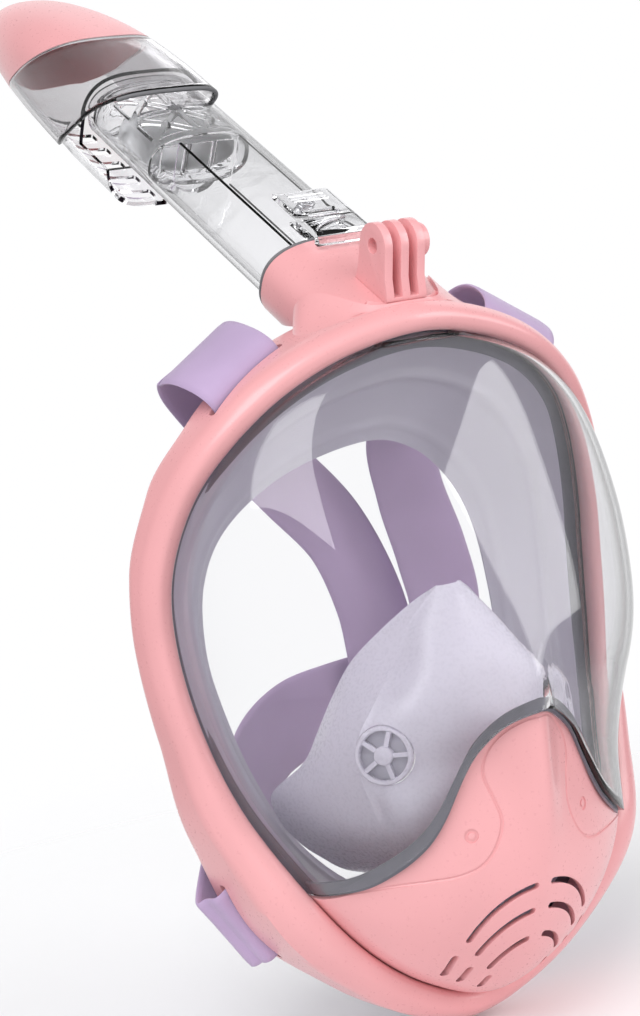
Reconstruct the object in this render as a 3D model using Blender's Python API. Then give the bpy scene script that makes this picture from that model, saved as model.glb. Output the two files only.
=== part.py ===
"""Full face snorkel mask: a domed clear lens in a stiff ring frame, a chin cover with purge vents, a
silicone face skirt with a nose and mouth pocket, a three-channel snorkel with a dry-top head, a camera
mount and crossing head straps. +Z up, the wearer looks along -Y, +X is the wearer's left. The origin is
the centre of the face seal. All dimensions are in millimetres; MM turns them into metres."""
import bpy
import bmesh
import numpy as np
from math import cos, exp, pi, radians, sin, sqrt
from mathutils import Matrix, Vector

MM = 0.001

# Bezel rim, right half, top to bottom: the inner edge of the frame that the lens comes out of.
RIM_HALF = [(0, -60, 108.5), (25, -56, 104.5), (47, -51.5, 95.5), (64, -44, 82), (76, -34, 65),
            (83, -26, 42), (83.5, -23.5, 18), (80, -26.5, -10), (73.3, -34.5, -37), (61, -48, -65),
            (43.5, -49.5, -88), (22, -46.5, -105), (0, -43.5, -113.6)]
# Edge of the face opening in the skirt, right half, top to bottom.
SEAL_HALF = [(0, -18, 73), (26, -7, 66), (46, 3, 51), (56, 6.5, 33), (59, 6, 10), (57, 2, -12),
             (52, -4, -35), (42, -9, -58), (23, -13, -78), (0, -15, -86)]
# Rear edge of the nose and mouth pocket, right half, top to bottom.
POCKET_HALF = [(0, -57, 26.5), (15, -48, 20), (26, -39, 7), (34.5, -33, -6), (42.5, -28.5, -22),
               (50, -17, -38), (44, -17, -54), (27, -20, -68), (0, -22, -76)]
HALF = len(RIM_HALF) - 1          # rim control points are numbered 0 (top) to HALF (bottom)
STATIONS = 56                     # sections round the mask

BEZEL_WIDTH = ([0, 3, 7, 8.2, 9.2, 10.4, 12], [10.0, 9.5, 9.5, 12.5, 15.0, 12.5, 10.6])
FRAME_REAR_Y = ([0, 3, 4, 5, 6, 8, 9.3, 10.5, 12], [-28, -25, -19, -14, -12, -12, -12, -22, -28])
FRAME_WALL = 2.8
CHANNEL = 4.2                     # how far the lens channel reaches under the bezel
GAP = 0.35

LENS_FRONT_Y = -103.0             # furthest forward point of the lens, on the midplane
LENS_THICK = 2.0
CHIN_THICK = 2.1
LENS_LOW_Z = ([0, 4, 8, 12, 16, 20, 25, 30, 35, 40, 46, 53, 60],
              [-10.7, -11.5, -13.2, -15.7, -19, -23.2, -31.7, -40.7, -47.7, -52.5, -57, -61.5, -64.3])
EDGE_GAP = 1.3                    # seam between the lens and the chin cover
CREST = 8.0                       # how far the midline stands out from the flanks beside it, low down
CREST_WIDTH = 8.0
CREST_Z = -24.0
COLUMNS = 11                      # lens and chin cover columns on each side, closer at the middle

SKIRT_THICK = 2.0
POCKET_THICK = 1.8
POCKET_ROOF = ([-75, -73, -68, -60, -50, -38, -22, -6, 7, 20, 26.5],
               [-24, -42, -57, -69, -77, -79, -77, -72.5, -68, -62.5, -57])
POCKET_POWER = 3.0                # roundness of the pocket's level sections: 2 is an ellipse

TUBE_ANGLE = radians(30.7)        # the snorkel's rise above level
TUBE_CENTRE = 88.9 + 50 * sin(TUBE_ANGLE)    # axis height above the origin, across the tube
TUBE_SHIFT = -50 * cos(TUBE_ANGLE)
TUBE_HALF_WIDTH = 23.0
TUBE_HALF_DEPTH = 12.2
TUBE_WALL = 1.8
TUBE_START = 87.0                 # distances along the tube are measured from the foot of the axis
TUBE_END = 238.0
HALL_START = 188.0                # above this the tube has no channel dividers
DIVIDER_X = 12.0
DIVIDER_THICK = 1.6
MOUTH = 103.0                     # end face of the socket
SOCKET_FOOT = 52.0                # the socket's walls run down past the frame's top and are cut to it
SOCKET_WALL = 2.8
SQUARENESS = 2.6                  # superellipse exponent of the tube's section

HEAD_HALF_WIDTH = 27.0
HEAD_FRONT = 16.0
HEAD_REAR = -29.5
HEAD_TIP = 357.0
HEAD_TIP_V = -20.0

MOUNT_EYE = (0, -50, 137.4)
MOUNT_LEAN = radians(18)
PRONG = 3.0
PRONG_GAP = 3.2
EYE_RADIUS = 7.5
BORE_RADIUS = 2.6

VALVE_RADIUS = 9.6
VALVE_PLACE = Vector((35.5, -62.0, -22.0))
VALVE_AXIS = Vector((0.72, -0.68, 0.12)).normalized()
PURGE_RADIUS = 16.0
PURGE_CENTRE = (0, -67, -61.5)
PURGE_AXIS = Vector((0, -0.78, -0.63)).normalized()
VENT_WIDTH = 2.8
# Vent slots round the chin: centre height, radius, and start and end angle from straight up.
VENT_ARCS = [(-93, 24.5, 8, 68), (-98, 20.7, 10, 66), (-102, 14.4, 14, 66),
             (-93, 25.5, 84, 99), (-98, 19.5, 84, 98), (-102.5, 11.5, 84, 102)]

STRAP_WIDTH = 31.0
STRAP_THICK = 1.6
UPPER_SLOT_T = 2.1                # strap slots: place round the rim, and depth of their centres
LOWER_SLOT_T = 9.15
UPPER_SLOT_Y = -37.5
LOWER_SLOT_Y = -21.0
SLOT_DEPTH = 3.6
SLOT_WIDTH = STRAP_WIDTH + 3

LATCH_PIVOT_S = 112.0
LATCH_PIVOT_V = 15.8
LATCH_HALF = 10.5
PIN_RADIUS = 1.1

SLEEVE_THICK = 1.4
CAGE_LOW = 192.0
CAGE_HIGH = 233.8
SEAT_THICK = 2.0
FLOAT_LOW = 196.0
FLOAT_HIGH = 221.5

PINK = (0.87, 0.43, 0.46)
LILAC = (0.45, 0.33, 0.52)
SILICONE = (0.42, 0.40, 0.50)
CLEAR = (0.85, 0.88, 0.90)
SMOKE = (0.35, 0.34, 0.35)
GREY = (0.25, 0.25, 0.26)
STEEL = (0.6, 0.6, 0.62)


# ---------------------------------------------------------------- curves and sections

def mirror_half(half):
    """Closes a right half outline with its left half."""
    left = [(-x, y, z) for x, y, z in half[-2:0:-1]]
    return [Vector(p) for p in list(half) + left]


def spline(a, b, c, d, f):
    """Smooth curve from b to c at f in 0..1, with neighbours a and d."""
    cubic = 3 * b - a - 3 * c + d
    return 0.5 * (2 * b + (c - a) * f + (2 * a - 5 * b + 4 * c - d) * f * f + cubic * f ** 3)


def closed_curve(points, t):
    """Point at t on the smooth closed curve through points, one unit of t for each point."""
    n = len(points)
    i = int(np.floor(t)) % n
    f = t - np.floor(t)
    a, b, c, d = points[i - 1], points[i], points[(i + 1) % n], points[(i + 2) % n]
    return spline(a, b, c, d, f)


def open_curve(points, t):
    """Point at t in 0..1 on the smooth open curve through points."""
    n = len(points) - 1
    i = min(int(t * n), n - 1)
    f = t * n - i
    b, c = points[i], points[i + 1]
    a = points[i - 1] if i else 2 * b - c
    d = points[i + 2] if i + 2 <= n else 2 * c - b
    return spline(a, b, c, d, f)


def ease(table, t):
    """Value at t of a table of keys and values, eased between the keys."""
    keys, values = table
    i = int(np.clip(np.searchsorted(keys, t, side="right") - 1, 0, len(keys) - 2))
    f = np.clip((t - keys[i]) / (keys[i + 1] - keys[i]), 0, 1)
    f = f * f * (3 - 2 * f)
    return values[i] * (1 - f) + values[i + 1] * f


RIM = mirror_half(RIM_HALF)
SEAL = mirror_half(SEAL_HALF)
FINE = [closed_curve(RIM, HALF * k / 240) for k in range(241)]
RIM_Z = np.array([p.z for p in reversed(FINE)])
RIM_X = np.array([p.x for p in reversed(FINE)])
RIM_Y = np.array([p.y for p in reversed(FINE)])


def rim(t):
    """Rim point at t and the outward direction there, across the mask."""
    p = closed_curve(RIM, t)
    tangent = closed_curve(RIM, t + 0.05) - closed_curve(RIM, t - 0.05)
    out = Vector((-tangent.z, 0, tangent.x)).normalized()
    if out.dot(Vector((p.x, 0, p.z))) < 0:
        out = -out
    return p, out


def side_of(t):
    """Rim position folded on to the right half, 0 at the top and HALF at the bottom."""
    t = t % (2 * HALF)
    return min(t, 2 * HALF - t)


def dome(x, z, front_y, inset=0.0):
    """Depth of the face dome at x, z: a superellipse from the rim to the front line, with a crest."""
    half = float(np.interp(z, RIM_Z, RIM_X)) - inset
    side = float(np.interp(z, RIM_Z, RIM_Y))
    power = 2 - 0.6 * exp(-((z + 50) / 38) ** 2)
    share = max(0.0, 1 - min(1.0, abs(x) / max(half, 0.01)) ** power) ** (1 / power)
    crest = CREST * exp(-((z - CREST_Z) / 24) ** 2)
    return side - (side - front_y - crest) * share - crest * exp(-(x / CREST_WIDTH) ** 2)


def lens_front(z):
    rise = np.clip((z + 8) / 116.5, 0, 1)
    return LENS_FRONT_Y + 43 * rise ** 1.5


def lens_low(share):
    """Height of the lens's lower edge at this share of the rim's half width."""
    x = 61 * share
    for _ in range(12):
        low = float(np.interp(x, *LENS_LOW_Z))
        x = (float(np.interp(low, RIM_Z, RIM_X)) - 0.5) * share
    return low


def chin_front(z):
    if z > -20:
        return -99.5 + 0.9 * ((z + 20) / 11) ** 2
    return -43.5 - 56 * sqrt(max(0.0, 1 - ((z + 20) / 93.6) ** 2))


def along(s, x, v):
    """Point on the snorkel: s along its axis, x across, v towards its front face."""
    c, k = cos(TUBE_ANGLE), sin(TUBE_ANGLE)
    s = s + TUBE_SHIFT
    v = v + TUBE_CENTRE
    return Vector((x, s * c - v * k, s * k + v * c))


def oval(count, half_x, half_v, power=SQUARENESS, shift=0.0):
    """Superellipse outline as (x, v) pairs."""
    pairs = []
    for k in range(count):
        a = 2 * pi * k / count
        cx, sv = cos(a), sin(a)
        pairs.append((half_x * abs(cx) ** (2 / power) * np.sign(cx),
                      shift + half_v * abs(sv) ** (2 / power) * np.sign(sv)))
    return pairs


# ---------------------------------------------------------------- meshes

def material(name, colour, rough, metal=0.0, alpha=1.0):
    mat = bpy.data.materials.new(name)
    mat.use_nodes = True
    shader = mat.node_tree.nodes["Principled BSDF"]
    shader.inputs["Base Color"].default_value = (*colour, 1)
    shader.inputs["Roughness"].default_value = rough
    shader.inputs["Metallic"].default_value = metal
    shader.inputs["Alpha"].default_value = alpha
    mat.diffuse_color = (*colour, alpha)
    return mat


def add(name, points, faces, look, origin=None):
    """One closed object from points in millimetres; origin moves its own origin on to a joint's axis."""
    shift = Vector(origin) if origin is not None else Vector()
    mesh = bpy.data.meshes.new(name)
    mesh.from_pydata([(Vector(p) - shift) * MM for p in points], [], faces)
    work = bmesh.new()
    work.from_mesh(mesh)
    bmesh.ops.remove_doubles(work, verts=work.verts, dist=0.01 * MM)
    bmesh.ops.dissolve_degenerate(work, edges=work.edges, dist=0.001 * MM)
    bmesh.ops.recalc_face_normals(work, faces=work.faces)
    work.to_mesh(mesh)
    work.free()
    mesh.shade_smooth()
    mesh.set_sharp_from_angle(angle=radians(40))
    obj = bpy.data.objects.new(name, mesh)
    obj.location = shift * MM
    bpy.context.scene.collection.objects.link(obj)
    if look is not None:
        obj.data.materials.append(material(name, *look))
    return obj


def cut(obj, points, faces, label, operation="DIFFERENCE"):
    """Cuts a closed shape out of obj, or joins it on, with a Boolean modifier."""
    tool = add(f"{label}_tool", points, faces, None)
    tool.hide_render = True
    tool.display_type = "WIRE"
    modifier = obj.modifiers.new(label, "BOOLEAN")
    modifier.operation = operation
    modifier.solver = "EXACT"
    modifier.object = tool


def grid_faces(rows, columns, wrap_rows=False, wrap_columns=False, start=0):
    """Quads of a grid of points stored row by row."""
    faces = []
    for r in range(rows if wrap_rows else rows - 1):
        for c in range(columns if wrap_columns else columns - 1):
            a = start + r * columns + c
            b = start + r * columns + (c + 1) % columns
            e = start + ((r + 1) % rows) * columns + c
            f = start + ((r + 1) % rows) * columns + (c + 1) % columns
            faces.append((a, b, f, e))
    return faces


def sweep(section):
    """Closed ring swept round the rim; section(t) gives its points at t."""
    rows = [section(2 * HALF * k / STATIONS) for k in range(STATIONS)]
    points = [p for row in rows for p in row]
    return points, grid_faces(STATIONS, len(rows[0]), True, True)


def loft(rings, closed=False):
    """Solid through rings with flat ends, or a closed loop of rings."""
    count = len(rings[0])
    points = [p for ring in rings for p in ring]
    faces = grid_faces(len(rings), count, closed, True)
    if not closed:
        faces.append(tuple(range(count)))
        faces.append(tuple(range((len(rings) - 1) * count, len(rings) * count)))
    return points, faces


def hollow(outer, inner):
    """Tube wall between outer rings and inner rings, open at both ends."""
    return loft(list(outer) + list(reversed(inner)), closed=True)


def cup(outer, inner):
    """Cup wall: outer rings from the mouth to the closed end, and inner rings the same way."""
    count = len(outer[0])
    points, faces = loft(list(reversed(outer)) + list(inner))
    return points, faces[:-2] + [tuple(range(count)), tuple(range(len(points) - count, len(points)))]


def grid_normals(grid):
    """Unit normals of a grid of points."""
    pts = np.array([[tuple(p) for p in row] for row in grid])
    du = np.gradient(pts, axis=0)
    dv = np.gradient(pts, axis=1)
    n = np.cross(du, dv)
    size = np.linalg.norm(n, axis=2, keepdims=True)
    return pts, n / np.maximum(size, 1e-9)


def sheet(grid, thick, inward):
    """Closed shell from a grid of front points, thickened towards the point inward."""
    pts, normal = grid_normals(grid)
    flip = np.sign(((np.array(inward) - pts) * normal).sum(axis=2, keepdims=True))
    back = pts + normal * flip * thick
    rows, columns = pts.shape[:2]
    points = [Vector(p) for p in pts.reshape(-1, 3)] + [Vector(p) for p in back.reshape(-1, 3)]
    half = rows * columns
    faces = grid_faces(rows, columns) + grid_faces(rows, columns, start=half)
    edge = [c for c in range(columns)]
    edge += [r * columns + columns - 1 for r in range(1, rows)]
    edge += [(rows - 1) * columns + c for c in range(columns - 2, -1, -1)]
    edge += [r * columns for r in range(rows - 2, 0, -1)]
    for k, a in enumerate(edge):
        b = edge[(k + 1) % len(edge)]
        faces.append((a, b, b + half, a + half))
    return points, faces


def turned(origin, axis, profile, count=24):
    """Turned solid: profile is a closed outline of (radius, distance along axis) pairs."""
    spin = Vector(axis).normalized().to_track_quat("Z", "Y").to_matrix()
    rings = []
    for k in range(count):
        a = 2 * pi * k / count
        rings.append([Vector(origin) + spin @ Vector((r * cos(a), r * sin(a), h)) for r, h in profile])
    points = [p for ring in rings for p in ring]
    return points, grid_faces(count, len(profile), True, True)


def rod(origin, axis, radius, start, end, count=16):
    """Plain round bar along axis."""
    spin = Vector(axis).normalized().to_track_quat("Z", "Y").to_matrix()
    ring = [(radius * cos(2 * pi * k / count), radius * sin(2 * pi * k / count)) for k in range(count)]
    return loft([[Vector(origin) + spin @ Vector((x, y, h)) for x, y in ring] for h in (start, end)])


def prism(outline, place, low, high):
    """Straight prism: outline pairs put in space by place(a, b, height)."""
    return loft([[place(a, b, h) for a, b in outline] for h in (low, high)])


def join(shapes):
    """Several closed shapes as one list of points and faces."""
    points, faces = [], []
    for pts, fcs in shapes:
        faces += [tuple(i + len(points) for i in f) for f in fcs]
        points += pts
    return points, faces


# ---------------------------------------------------------------- frame, lens and chin cover

def frame_section(t):
    p, out = rim(t)
    y = p.y
    width = ease(BEZEL_WIDTH, side_of(t))
    rear = ease(FRAME_REAR_Y, side_of(t))
    outline = [(0, y), (1.2, y - 1.6), (4.5, y - 2.2), (width - 2.2, y + 1.2), (width - 0.3, y + 4.5),
               (width + 0.4, rear - 0.8), (width - 0.6, rear), (width - FRAME_WALL, rear),
               (max(CHANNEL, width - FRAME_WALL - 3), y + 11.4), (CHANNEL, y + 9.5),
               (CHANNEL, y + 3.0), (0, y + 3.0)]
    if rear < y + 12.4:
        outline[8] = (CHANNEL, rear)
    return [Vector((p.x, 0, p.z)) + out * n + Vector((0, d, 0)) for n, d in outline]


def band(t_centre, width, depth_y, thick_y, low, high):
    """Box across the frame wall at t: width along the rim, low to high outward."""
    p, out = rim(t_centre)
    run = Vector((-out.z, 0, out.x))
    base = Vector((p.x, depth_y, p.z))
    corners = [(-1, -1), (1, -1), (1, 1), (-1, 1)]
    return loft([[base + out * n + run * a * width / 2 + Vector((0, b * thick_y / 2, 0)) for a, b in corners]
                 for n in (low, high)])


def make_frame():
    frame = add("frame", *sweep(frame_section), (PINK, 0.35))
    slots = []
    for side in (1, -1):
        slots.append(band(side * UPPER_SLOT_T, SLOT_WIDTH, UPPER_SLOT_Y, SLOT_DEPTH, 2, 18))
        slots.append(band(side * LOWER_SLOT_T, SLOT_WIDTH, LOWER_SLOT_Y, SLOT_DEPTH, 3, 24))
    cut(frame, *join(slots), "strap_slots")
    port = prism(oval(20, 21, 6.2), lambda x, y, h: Vector((x, y - 36.5, h)), 100, 126)
    cut(frame, *port, "air_port")
    return frame


def rim_offset(t, n, depth):
    p, out = rim(t)
    return Vector((p.x, p.y + depth, p.z)) + out * n


def fan():
    """Column places from -1 at the right rim to 1 at the left rim."""
    steps = [k / COLUMNS for k in range(-COLUMNS, COLUMNS + 1)]
    return [sin(pi / 2 * np.sign(u) * abs(u) ** 1.35) for u in steps]


def make_lens():
    """Domed lens: columns run across the face, rows from the top down to the chin edge."""
    rows = []
    for r in range(14):
        share = (r / 13) ** 1.35
        row = []
        for q in fan():
            low = lens_low(abs(q))
            z = 107.6 + (low - 107.6) * max(share, 0.004)
            x = (float(np.interp(z, RIM_Z, RIM_X)) - 0.5) * q
            row.append(Vector((x, dome(x, z, lens_front(z), 0.5) + 0.2, z)))
        ends = []
        for side in (-1, 1):
            z = row[0].z if side < 0 else row[-1].z
            t = side * float(np.interp(-z, -RIM_Z[::-1], np.linspace(0, HALF, len(RIM_Z))))
            ends.append((rim_offset(t, CHANNEL - GAP, 3.5), rim_offset(t, -0.5, 3.5)))
        rows.append([ends[0][0], ends[0][1]] + row[1:-1] + [ends[1][1], ends[1][0]])
    return add("lens", *sheet(rows, LENS_THICK, (0, 0, 10)), (CLEAR, 0.05, 0.0, 0.3))


def make_chin_cover():
    """Chin cover: rows from the seam under the lens down to the bottom of the rim."""
    rows = []
    for r in range(11):
        share = r / 10
        row = []
        for q in fan():
            top = lens_low(abs(q)) - EDGE_GAP
            z = top + (-111.6 - top) * min(1 - (1 - share) ** 1.25, 0.996)
            x = (float(np.interp(z, RIM_Z, RIM_X)) - 0.5) * q
            row.append(Vector((x, dome(x, z, chin_front(z), 0.5) + 0.2, z)))
        ends = []
        for side in (-1, 1):
            z = row[0].z if side < 0 else row[-1].z
            t = side * float(np.interp(-z, -RIM_Z[::-1], np.linspace(0, HALF, len(RIM_Z))))
            ends.append((rim_offset(t, CHANNEL - GAP - 0.2, 3.8), rim_offset(t, -0.5, 3.8)))
        rows.append([ends[0][0], ends[0][1]] + row[1:-1] + [ends[1][1], ends[1][0]])
    cover = add("chin_cover", *sheet(rows, CHIN_THICK, (0, 0, -60)), (PINK, 0.35))
    cut(cover, *join(vent_slots()), "vents")
    return cover


def vent_slots():
    """Arc slots round the chin."""
    shapes = []
    for centre, radius, start, end in VENT_ARCS:
        steps = 6 if end - start > 30 else 2
        for side in (1, -1):
            outline = []
            half = VENT_WIDTH / 2
            for offset, order in ((half, range(steps + 1)), (-half, range(steps, -1, -1))):
                for k in order:
                    a = radians(start + (end - start) * k / steps)
                    outline.append((side * (radius + offset) * sin(a), centre + (radius + offset) * cos(a)))
            shapes.append(prism(outline, lambda x, z, h: Vector((x, h, z)), -100, -52))
    return shapes


def make_clamp_ring():
    def section(t):
        return [rim_offset(t, n, d) for n, d in ((-3, 8.35), (3.8, 8.35), (3.8, 11.2), (-3, 11.2))]
    return add("clamp_ring", *sweep(section), (GREY, 0.5))


def seal_point(t):
    """Face opening edge that faces the rim at t."""
    return closed_curve(SEAL, (t % (2 * HALF)) * len(SEAL) / (2 * HALF))


def make_face_skirt():
    def section(t):
        edge = seal_point(t)
        start = rim_offset(t, -5.8, 7.0)
        back = rim_offset(t, -3.6, 11.8)
        inward = (edge - start).normalized()
        p, out = rim(t)
        across = (out + Vector((0, 1, 0)) * 0.9).normalized() * SKIRT_THICK
        middle = start.lerp(edge, 0.55) + Vector((0, 2.0, 0)) + out * 1.5
        return [rim_offset(t, 3.7, 6.1), rim_offset(t, -5.8, 6.1), middle, edge,
                edge + inward * 1.0 + across * 0.5, edge + across, middle + across, back,
                rim_offset(t, -3.6, 8.0), rim_offset(t, 3.7, 8.0)]
    return add("face_skirt", *sweep(section), (SILICONE, 0.5))


# ---------------------------------------------------------------- nose pocket and valves

def pocket_point(z, angle):
    """Pocket surface at height z: angle runs from -90 at the right edge to 90 at the left edge."""
    heights = [p[2] for p in POCKET_HALF][::-1]
    half = float(np.interp(z, heights, [p[0] for p in POCKET_HALF][::-1]))
    edge = float(np.interp(z, heights, [p[1] for p in POCKET_HALF][::-1]))
    front = float(np.interp(z, *POCKET_ROOF))
    a = radians(angle)
    x = half * np.sign(a) * abs(sin(a)) ** (2 / POCKET_POWER)
    return Vector((x, edge - (edge - front) * max(0.0, cos(a)) ** (2 / POCKET_POWER), z))


def valve_place(side):
    return Vector((side * VALVE_PLACE.x, *VALVE_PLACE.yz)), Vector((side * VALVE_AXIS.x, *VALVE_AXIS.yz))


def make_nose_pocket():
    """Nose and mouth cup, open to the rear, with holes for its three valves."""
    grid = []
    for z in (26.3, 22, 14, 4, -7, -17, -27, -38, -48, -57, -64, -70, -74.6):
        grid.append([pocket_point(z, angle) for angle in range(-90, 91, 10)])
    pocket = add("nose_pocket", *sheet(grid, POCKET_THICK, (0, -25, -30)), (SILICONE, 0.4))
    holes = []
    for side in (1, -1):
        place, normal = valve_place(side)
        holes.append(rod(place, normal, VALVE_RADIUS + GAP, -7, 9, 24))
    holes.append(rod(PURGE_CENTRE, PURGE_AXIS, PURGE_RADIUS + GAP, -12, 14, 28))
    cut(pocket, *join(holes), "valve_holes")


def spoked_disc(name, place, axis, radius, thick, spokes, hub, look, inner_rim):
    """Valve seat: a disc with openings between its spokes."""
    disc = add(name, *rod(place, axis, radius, -thick / 2, thick / 2, 28), look)
    spin = Vector(axis).normalized().to_track_quat("Z", "Y").to_matrix()
    shapes = []
    half_spoke = 1.0
    for k in range(spokes):
        first = 2 * pi * k / spokes
        outline = []
        for r, ends in ((inner_rim, (0, 1, 2, 3)), (hub, (3, 2, 1, 0))):
            trim = half_spoke / r
            span = 2 * pi / spokes - 2 * trim
            for e in ends:
                a = first + trim + span * e / 3
                outline.append((r * cos(a), r * sin(a)))
        shapes.append(prism(outline, lambda a, b, h: Vector(place) + spin @ Vector((a, b, h)),
                            -thick, thick))
    cut(disc, *join(shapes), f"{name}_ports")
    return disc


def flap(name, place, axis, radius, low, high):
    place = Vector(place)
    return add(name, *rod(place, axis, radius, low, high, 24), (GREY, 0.5), origin=place)


def make_valves():
    for side, label in ((1, "left"), (-1, "right")):
        place, normal = valve_place(side)
        spoked_disc(f"inhale_valve_seat_{label}", place, normal, VALVE_RADIUS, 2.4, 5, 3.2,
                    (SILICONE, 0.4), 8.2)
        flap(f"inhale_flap_{label}", place, normal, VALVE_RADIUS - 1.0, -2.3, -1.5)
    spoked_disc("purge_valve_seat", PURGE_CENTRE, PURGE_AXIS, PURGE_RADIUS, 3.0, 6, 4.0, (GREY, 0.5), 13.5)
    flap("purge_flap", PURGE_CENTRE, PURGE_AXIS, PURGE_RADIUS - 1.2, 1.8, 2.6)


# ---------------------------------------------------------------- snorkel

def rings(levels, outline):
    return [[along(s, x, v) for x, v in outline(s)] for s in levels]


def socket_solid(extra):
    """The socket's outside as one solid, grown by extra."""
    return loft(rings([SOCKET_FOOT, MOUTH], lambda s: oval(32, TUBE_HALF_WIDTH + SOCKET_WALL + extra,
                                                           TUBE_HALF_DEPTH + SOCKET_WALL + extra)))


def block(x0, x1, outline):
    """Bar across the snorkel from x0 to x1 with a side outline of (s, v) pairs."""
    return loft([[along(s, x, v) for s, v in outline] for x in (x0, x1)])


def make_socket():
    """Moulded duct from the top of the frame to the snorkel's foot, cut to sit on the frame."""
    socket = add("snorkel_socket", *socket_solid(0.0), (PINK, 0.35))
    bore = rings([SOCKET_FOOT - 1, MOUTH + 1],
                 lambda s: oval(32, TUBE_HALF_WIDTH + GAP, TUBE_HALF_DEPTH + GAP))
    cut(socket, *loft(bore), "tube_bore")
    top = TUBE_HALF_DEPTH + SOCKET_WALL
    catch = [(98.6, top - 1.2), (101.6, top - 1.2), (101.6, top + 0.2), (100.6, top + 0.5),
             (98.6, top + 0.5)]
    cut(socket, *block(-8, 8, catch), "latch_catch", "UNION")

    def shadow(t):
        width = ease(BEZEL_WIDTH, side_of(t)) + 0.4 + GAP
        p, out = rim(t)
        base = Vector((p.x, 0, p.z))
        corners = ((-40, -75), (width, -75), (width, 40), (-40, 40))
        return [base + out * n + Vector((0, d, 0)) for n, d in corners]
    cut(socket, *sweep(shadow), "frame_seat")
    return socket


def make_gasket():
    def outer(s):
        return oval(32, TUBE_HALF_WIDTH + 2.2, TUBE_HALF_DEPTH + 2.2)

    def inner(s):
        return oval(32, TUBE_HALF_WIDTH + GAP, TUBE_HALF_DEPTH + GAP)
    levels = [MOUTH + 0.3, MOUTH + 1.7]
    return add("socket_gasket", *hollow(rings(levels, outer), rings(levels, inner)), (GREY, 0.6))


def channel(x_low, x_high, s_low, s_high):
    """Air channel cutter between two x values inside the tube wall."""
    a, b = TUBE_HALF_WIDTH - TUBE_WALL - 0.1, TUBE_HALF_DEPTH - TUBE_WALL - 0.1
    steps = 8
    xs = [x_low + (x_high - x_low) * k / steps for k in range(steps + 1)]
    height = [b * max(0.02, 1 - min(1, abs(x) / a) ** SQUARENESS) ** (1 / SQUARENESS) for x in xs]
    outline = list(zip(xs, height)) + [(x, -h) for x, h in zip(reversed(xs), reversed(height))]
    return loft([[along(s, x, v) for x, v in outline] for s in (s_low, s_high)])


def make_tube():
    outer = rings([TUBE_START, TUBE_END], lambda s: oval(40, TUBE_HALF_WIDTH, TUBE_HALF_DEPTH))
    tube = add("snorkel_tube", *loft(outer), (CLEAR, 0.05, 0.0, 0.3))
    side = TUBE_HALF_WIDTH - TUBE_WALL - 0.3
    wall = DIVIDER_THICK / 2
    cuts = [channel(-DIVIDER_X + wall, DIVIDER_X - wall, TUBE_START - 2, HALL_START + 1)]
    cuts.append(channel(DIVIDER_X + wall, side, TUBE_START - 2, HALL_START + 1))
    cuts.append(channel(-side, -DIVIDER_X - wall, TUBE_START - 2, HALL_START + 1))
    cut(tube, *join(cuts), "channels")
    hall = rings([HALL_START, TUBE_END + 2],
                 lambda s: oval(40, TUBE_HALF_WIDTH - TUBE_WALL, TUBE_HALF_DEPTH - TUBE_WALL))
    cut(tube, *loft(hall), "hall")
    return tube


def make_latch():
    """Sprung clear lever on the front of the tube, on a pin in a bracket fixed to the tube."""
    pivot = along(LATCH_PIVOT_S, 0, LATCH_PIVOT_V)
    base = TUBE_HALF_DEPTH + GAP
    bracket_side = [(106, base), (118, base), (118, base + 1.2), (LATCH_PIVOT_S + 2.4, base + 1.2),
                    (LATCH_PIVOT_S + 2.2, LATCH_PIVOT_V + 1.4), (LATCH_PIVOT_S - 2.2, LATCH_PIVOT_V + 1.4),
                    (LATCH_PIVOT_S - 2.4, base + 1.2), (106, base + 1.2)]
    bracket = add("latch_bracket", *block(-8.0, 8.0, bracket_side), (CLEAR, 0.05, 0.0, 0.3))
    gap_outline = [(104, base + 1.0), (120, base + 1.0), (120, base + 8), (104, base + 8)]
    cut(bracket, *block(-6.2, 6.2, gap_outline), "bracket_gap")
    cut(bracket, *rod(pivot, (1, 0, 0), PIN_RADIUS + 0.1, -12, 12), "bracket_bore")

    top = LATCH_PIVOT_V + 4.4
    hook = TUBE_HALF_DEPTH + SOCKET_WALL + 0.9
    lever_side = [(95.6, hook), (98.2, hook), (98.2, top - 2.2), (LATCH_PIVOT_S - 2.6, top - 2.2),
                  (LATCH_PIVOT_S - 2.4, LATCH_PIVOT_V - 1.6), (LATCH_PIVOT_S + 2.4, LATCH_PIVOT_V - 1.6),
                  (LATCH_PIVOT_S + 2.6, top - 2.2), (127, top - 2.0), (127.5, top - 0.6), (126, top),
                  (98.5, top), (95.2, top - 2.4)]
    lever = add("latch_lever", *block(-LATCH_HALF, LATCH_HALF, lever_side), (CLEAR, 0.05, 0.0, 0.3),
                origin=pivot)
    for x0, x1 in ((-14, -5.8), (5.8, 14)):
        notch = [(102, base - 4), (122, base - 4), (122, top - 2.3), (102, top - 2.3)]
        cut(lever, *block(x0, x1, notch), f"lever_notch_{'a' if x0 < 0 else 'b'}")
    cut(lever, *rod(pivot, (1, 0, 0), PIN_RADIUS + 0.1, -12, 12), "lever_bore")
    add("latch_pin", *rod(pivot, (1, 0, 0), PIN_RADIUS, -9.0, 9.0, 16), (STEEL, 0.3, 1.0))
    make_latch_spring(base + 0.1, top - 2.2)


def make_latch_spring(low, high):
    turns, sides, wire, radius = 3.0, 5, 0.4, 2.6
    steps = int(turns * 9)
    foot, head = low + wire + 0.2, high - wire - 0.5
    rows = []
    for k in range(steps + 1):
        a = 2 * pi * turns * k / steps
        v = foot + (head - foot) * k / steps
        row = []
        for j in range(sides):
            b = 2 * pi * j / sides
            r = radius + wire * cos(b)
            row.append(along(121.3 + r * cos(a), r * sin(a), v + wire * sin(b)))
        rows.append(row)
    return add("latch_spring", *loft(rows), (STEEL, 0.3, 1.0))


# ---------------------------------------------------------------- dry-top head

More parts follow.
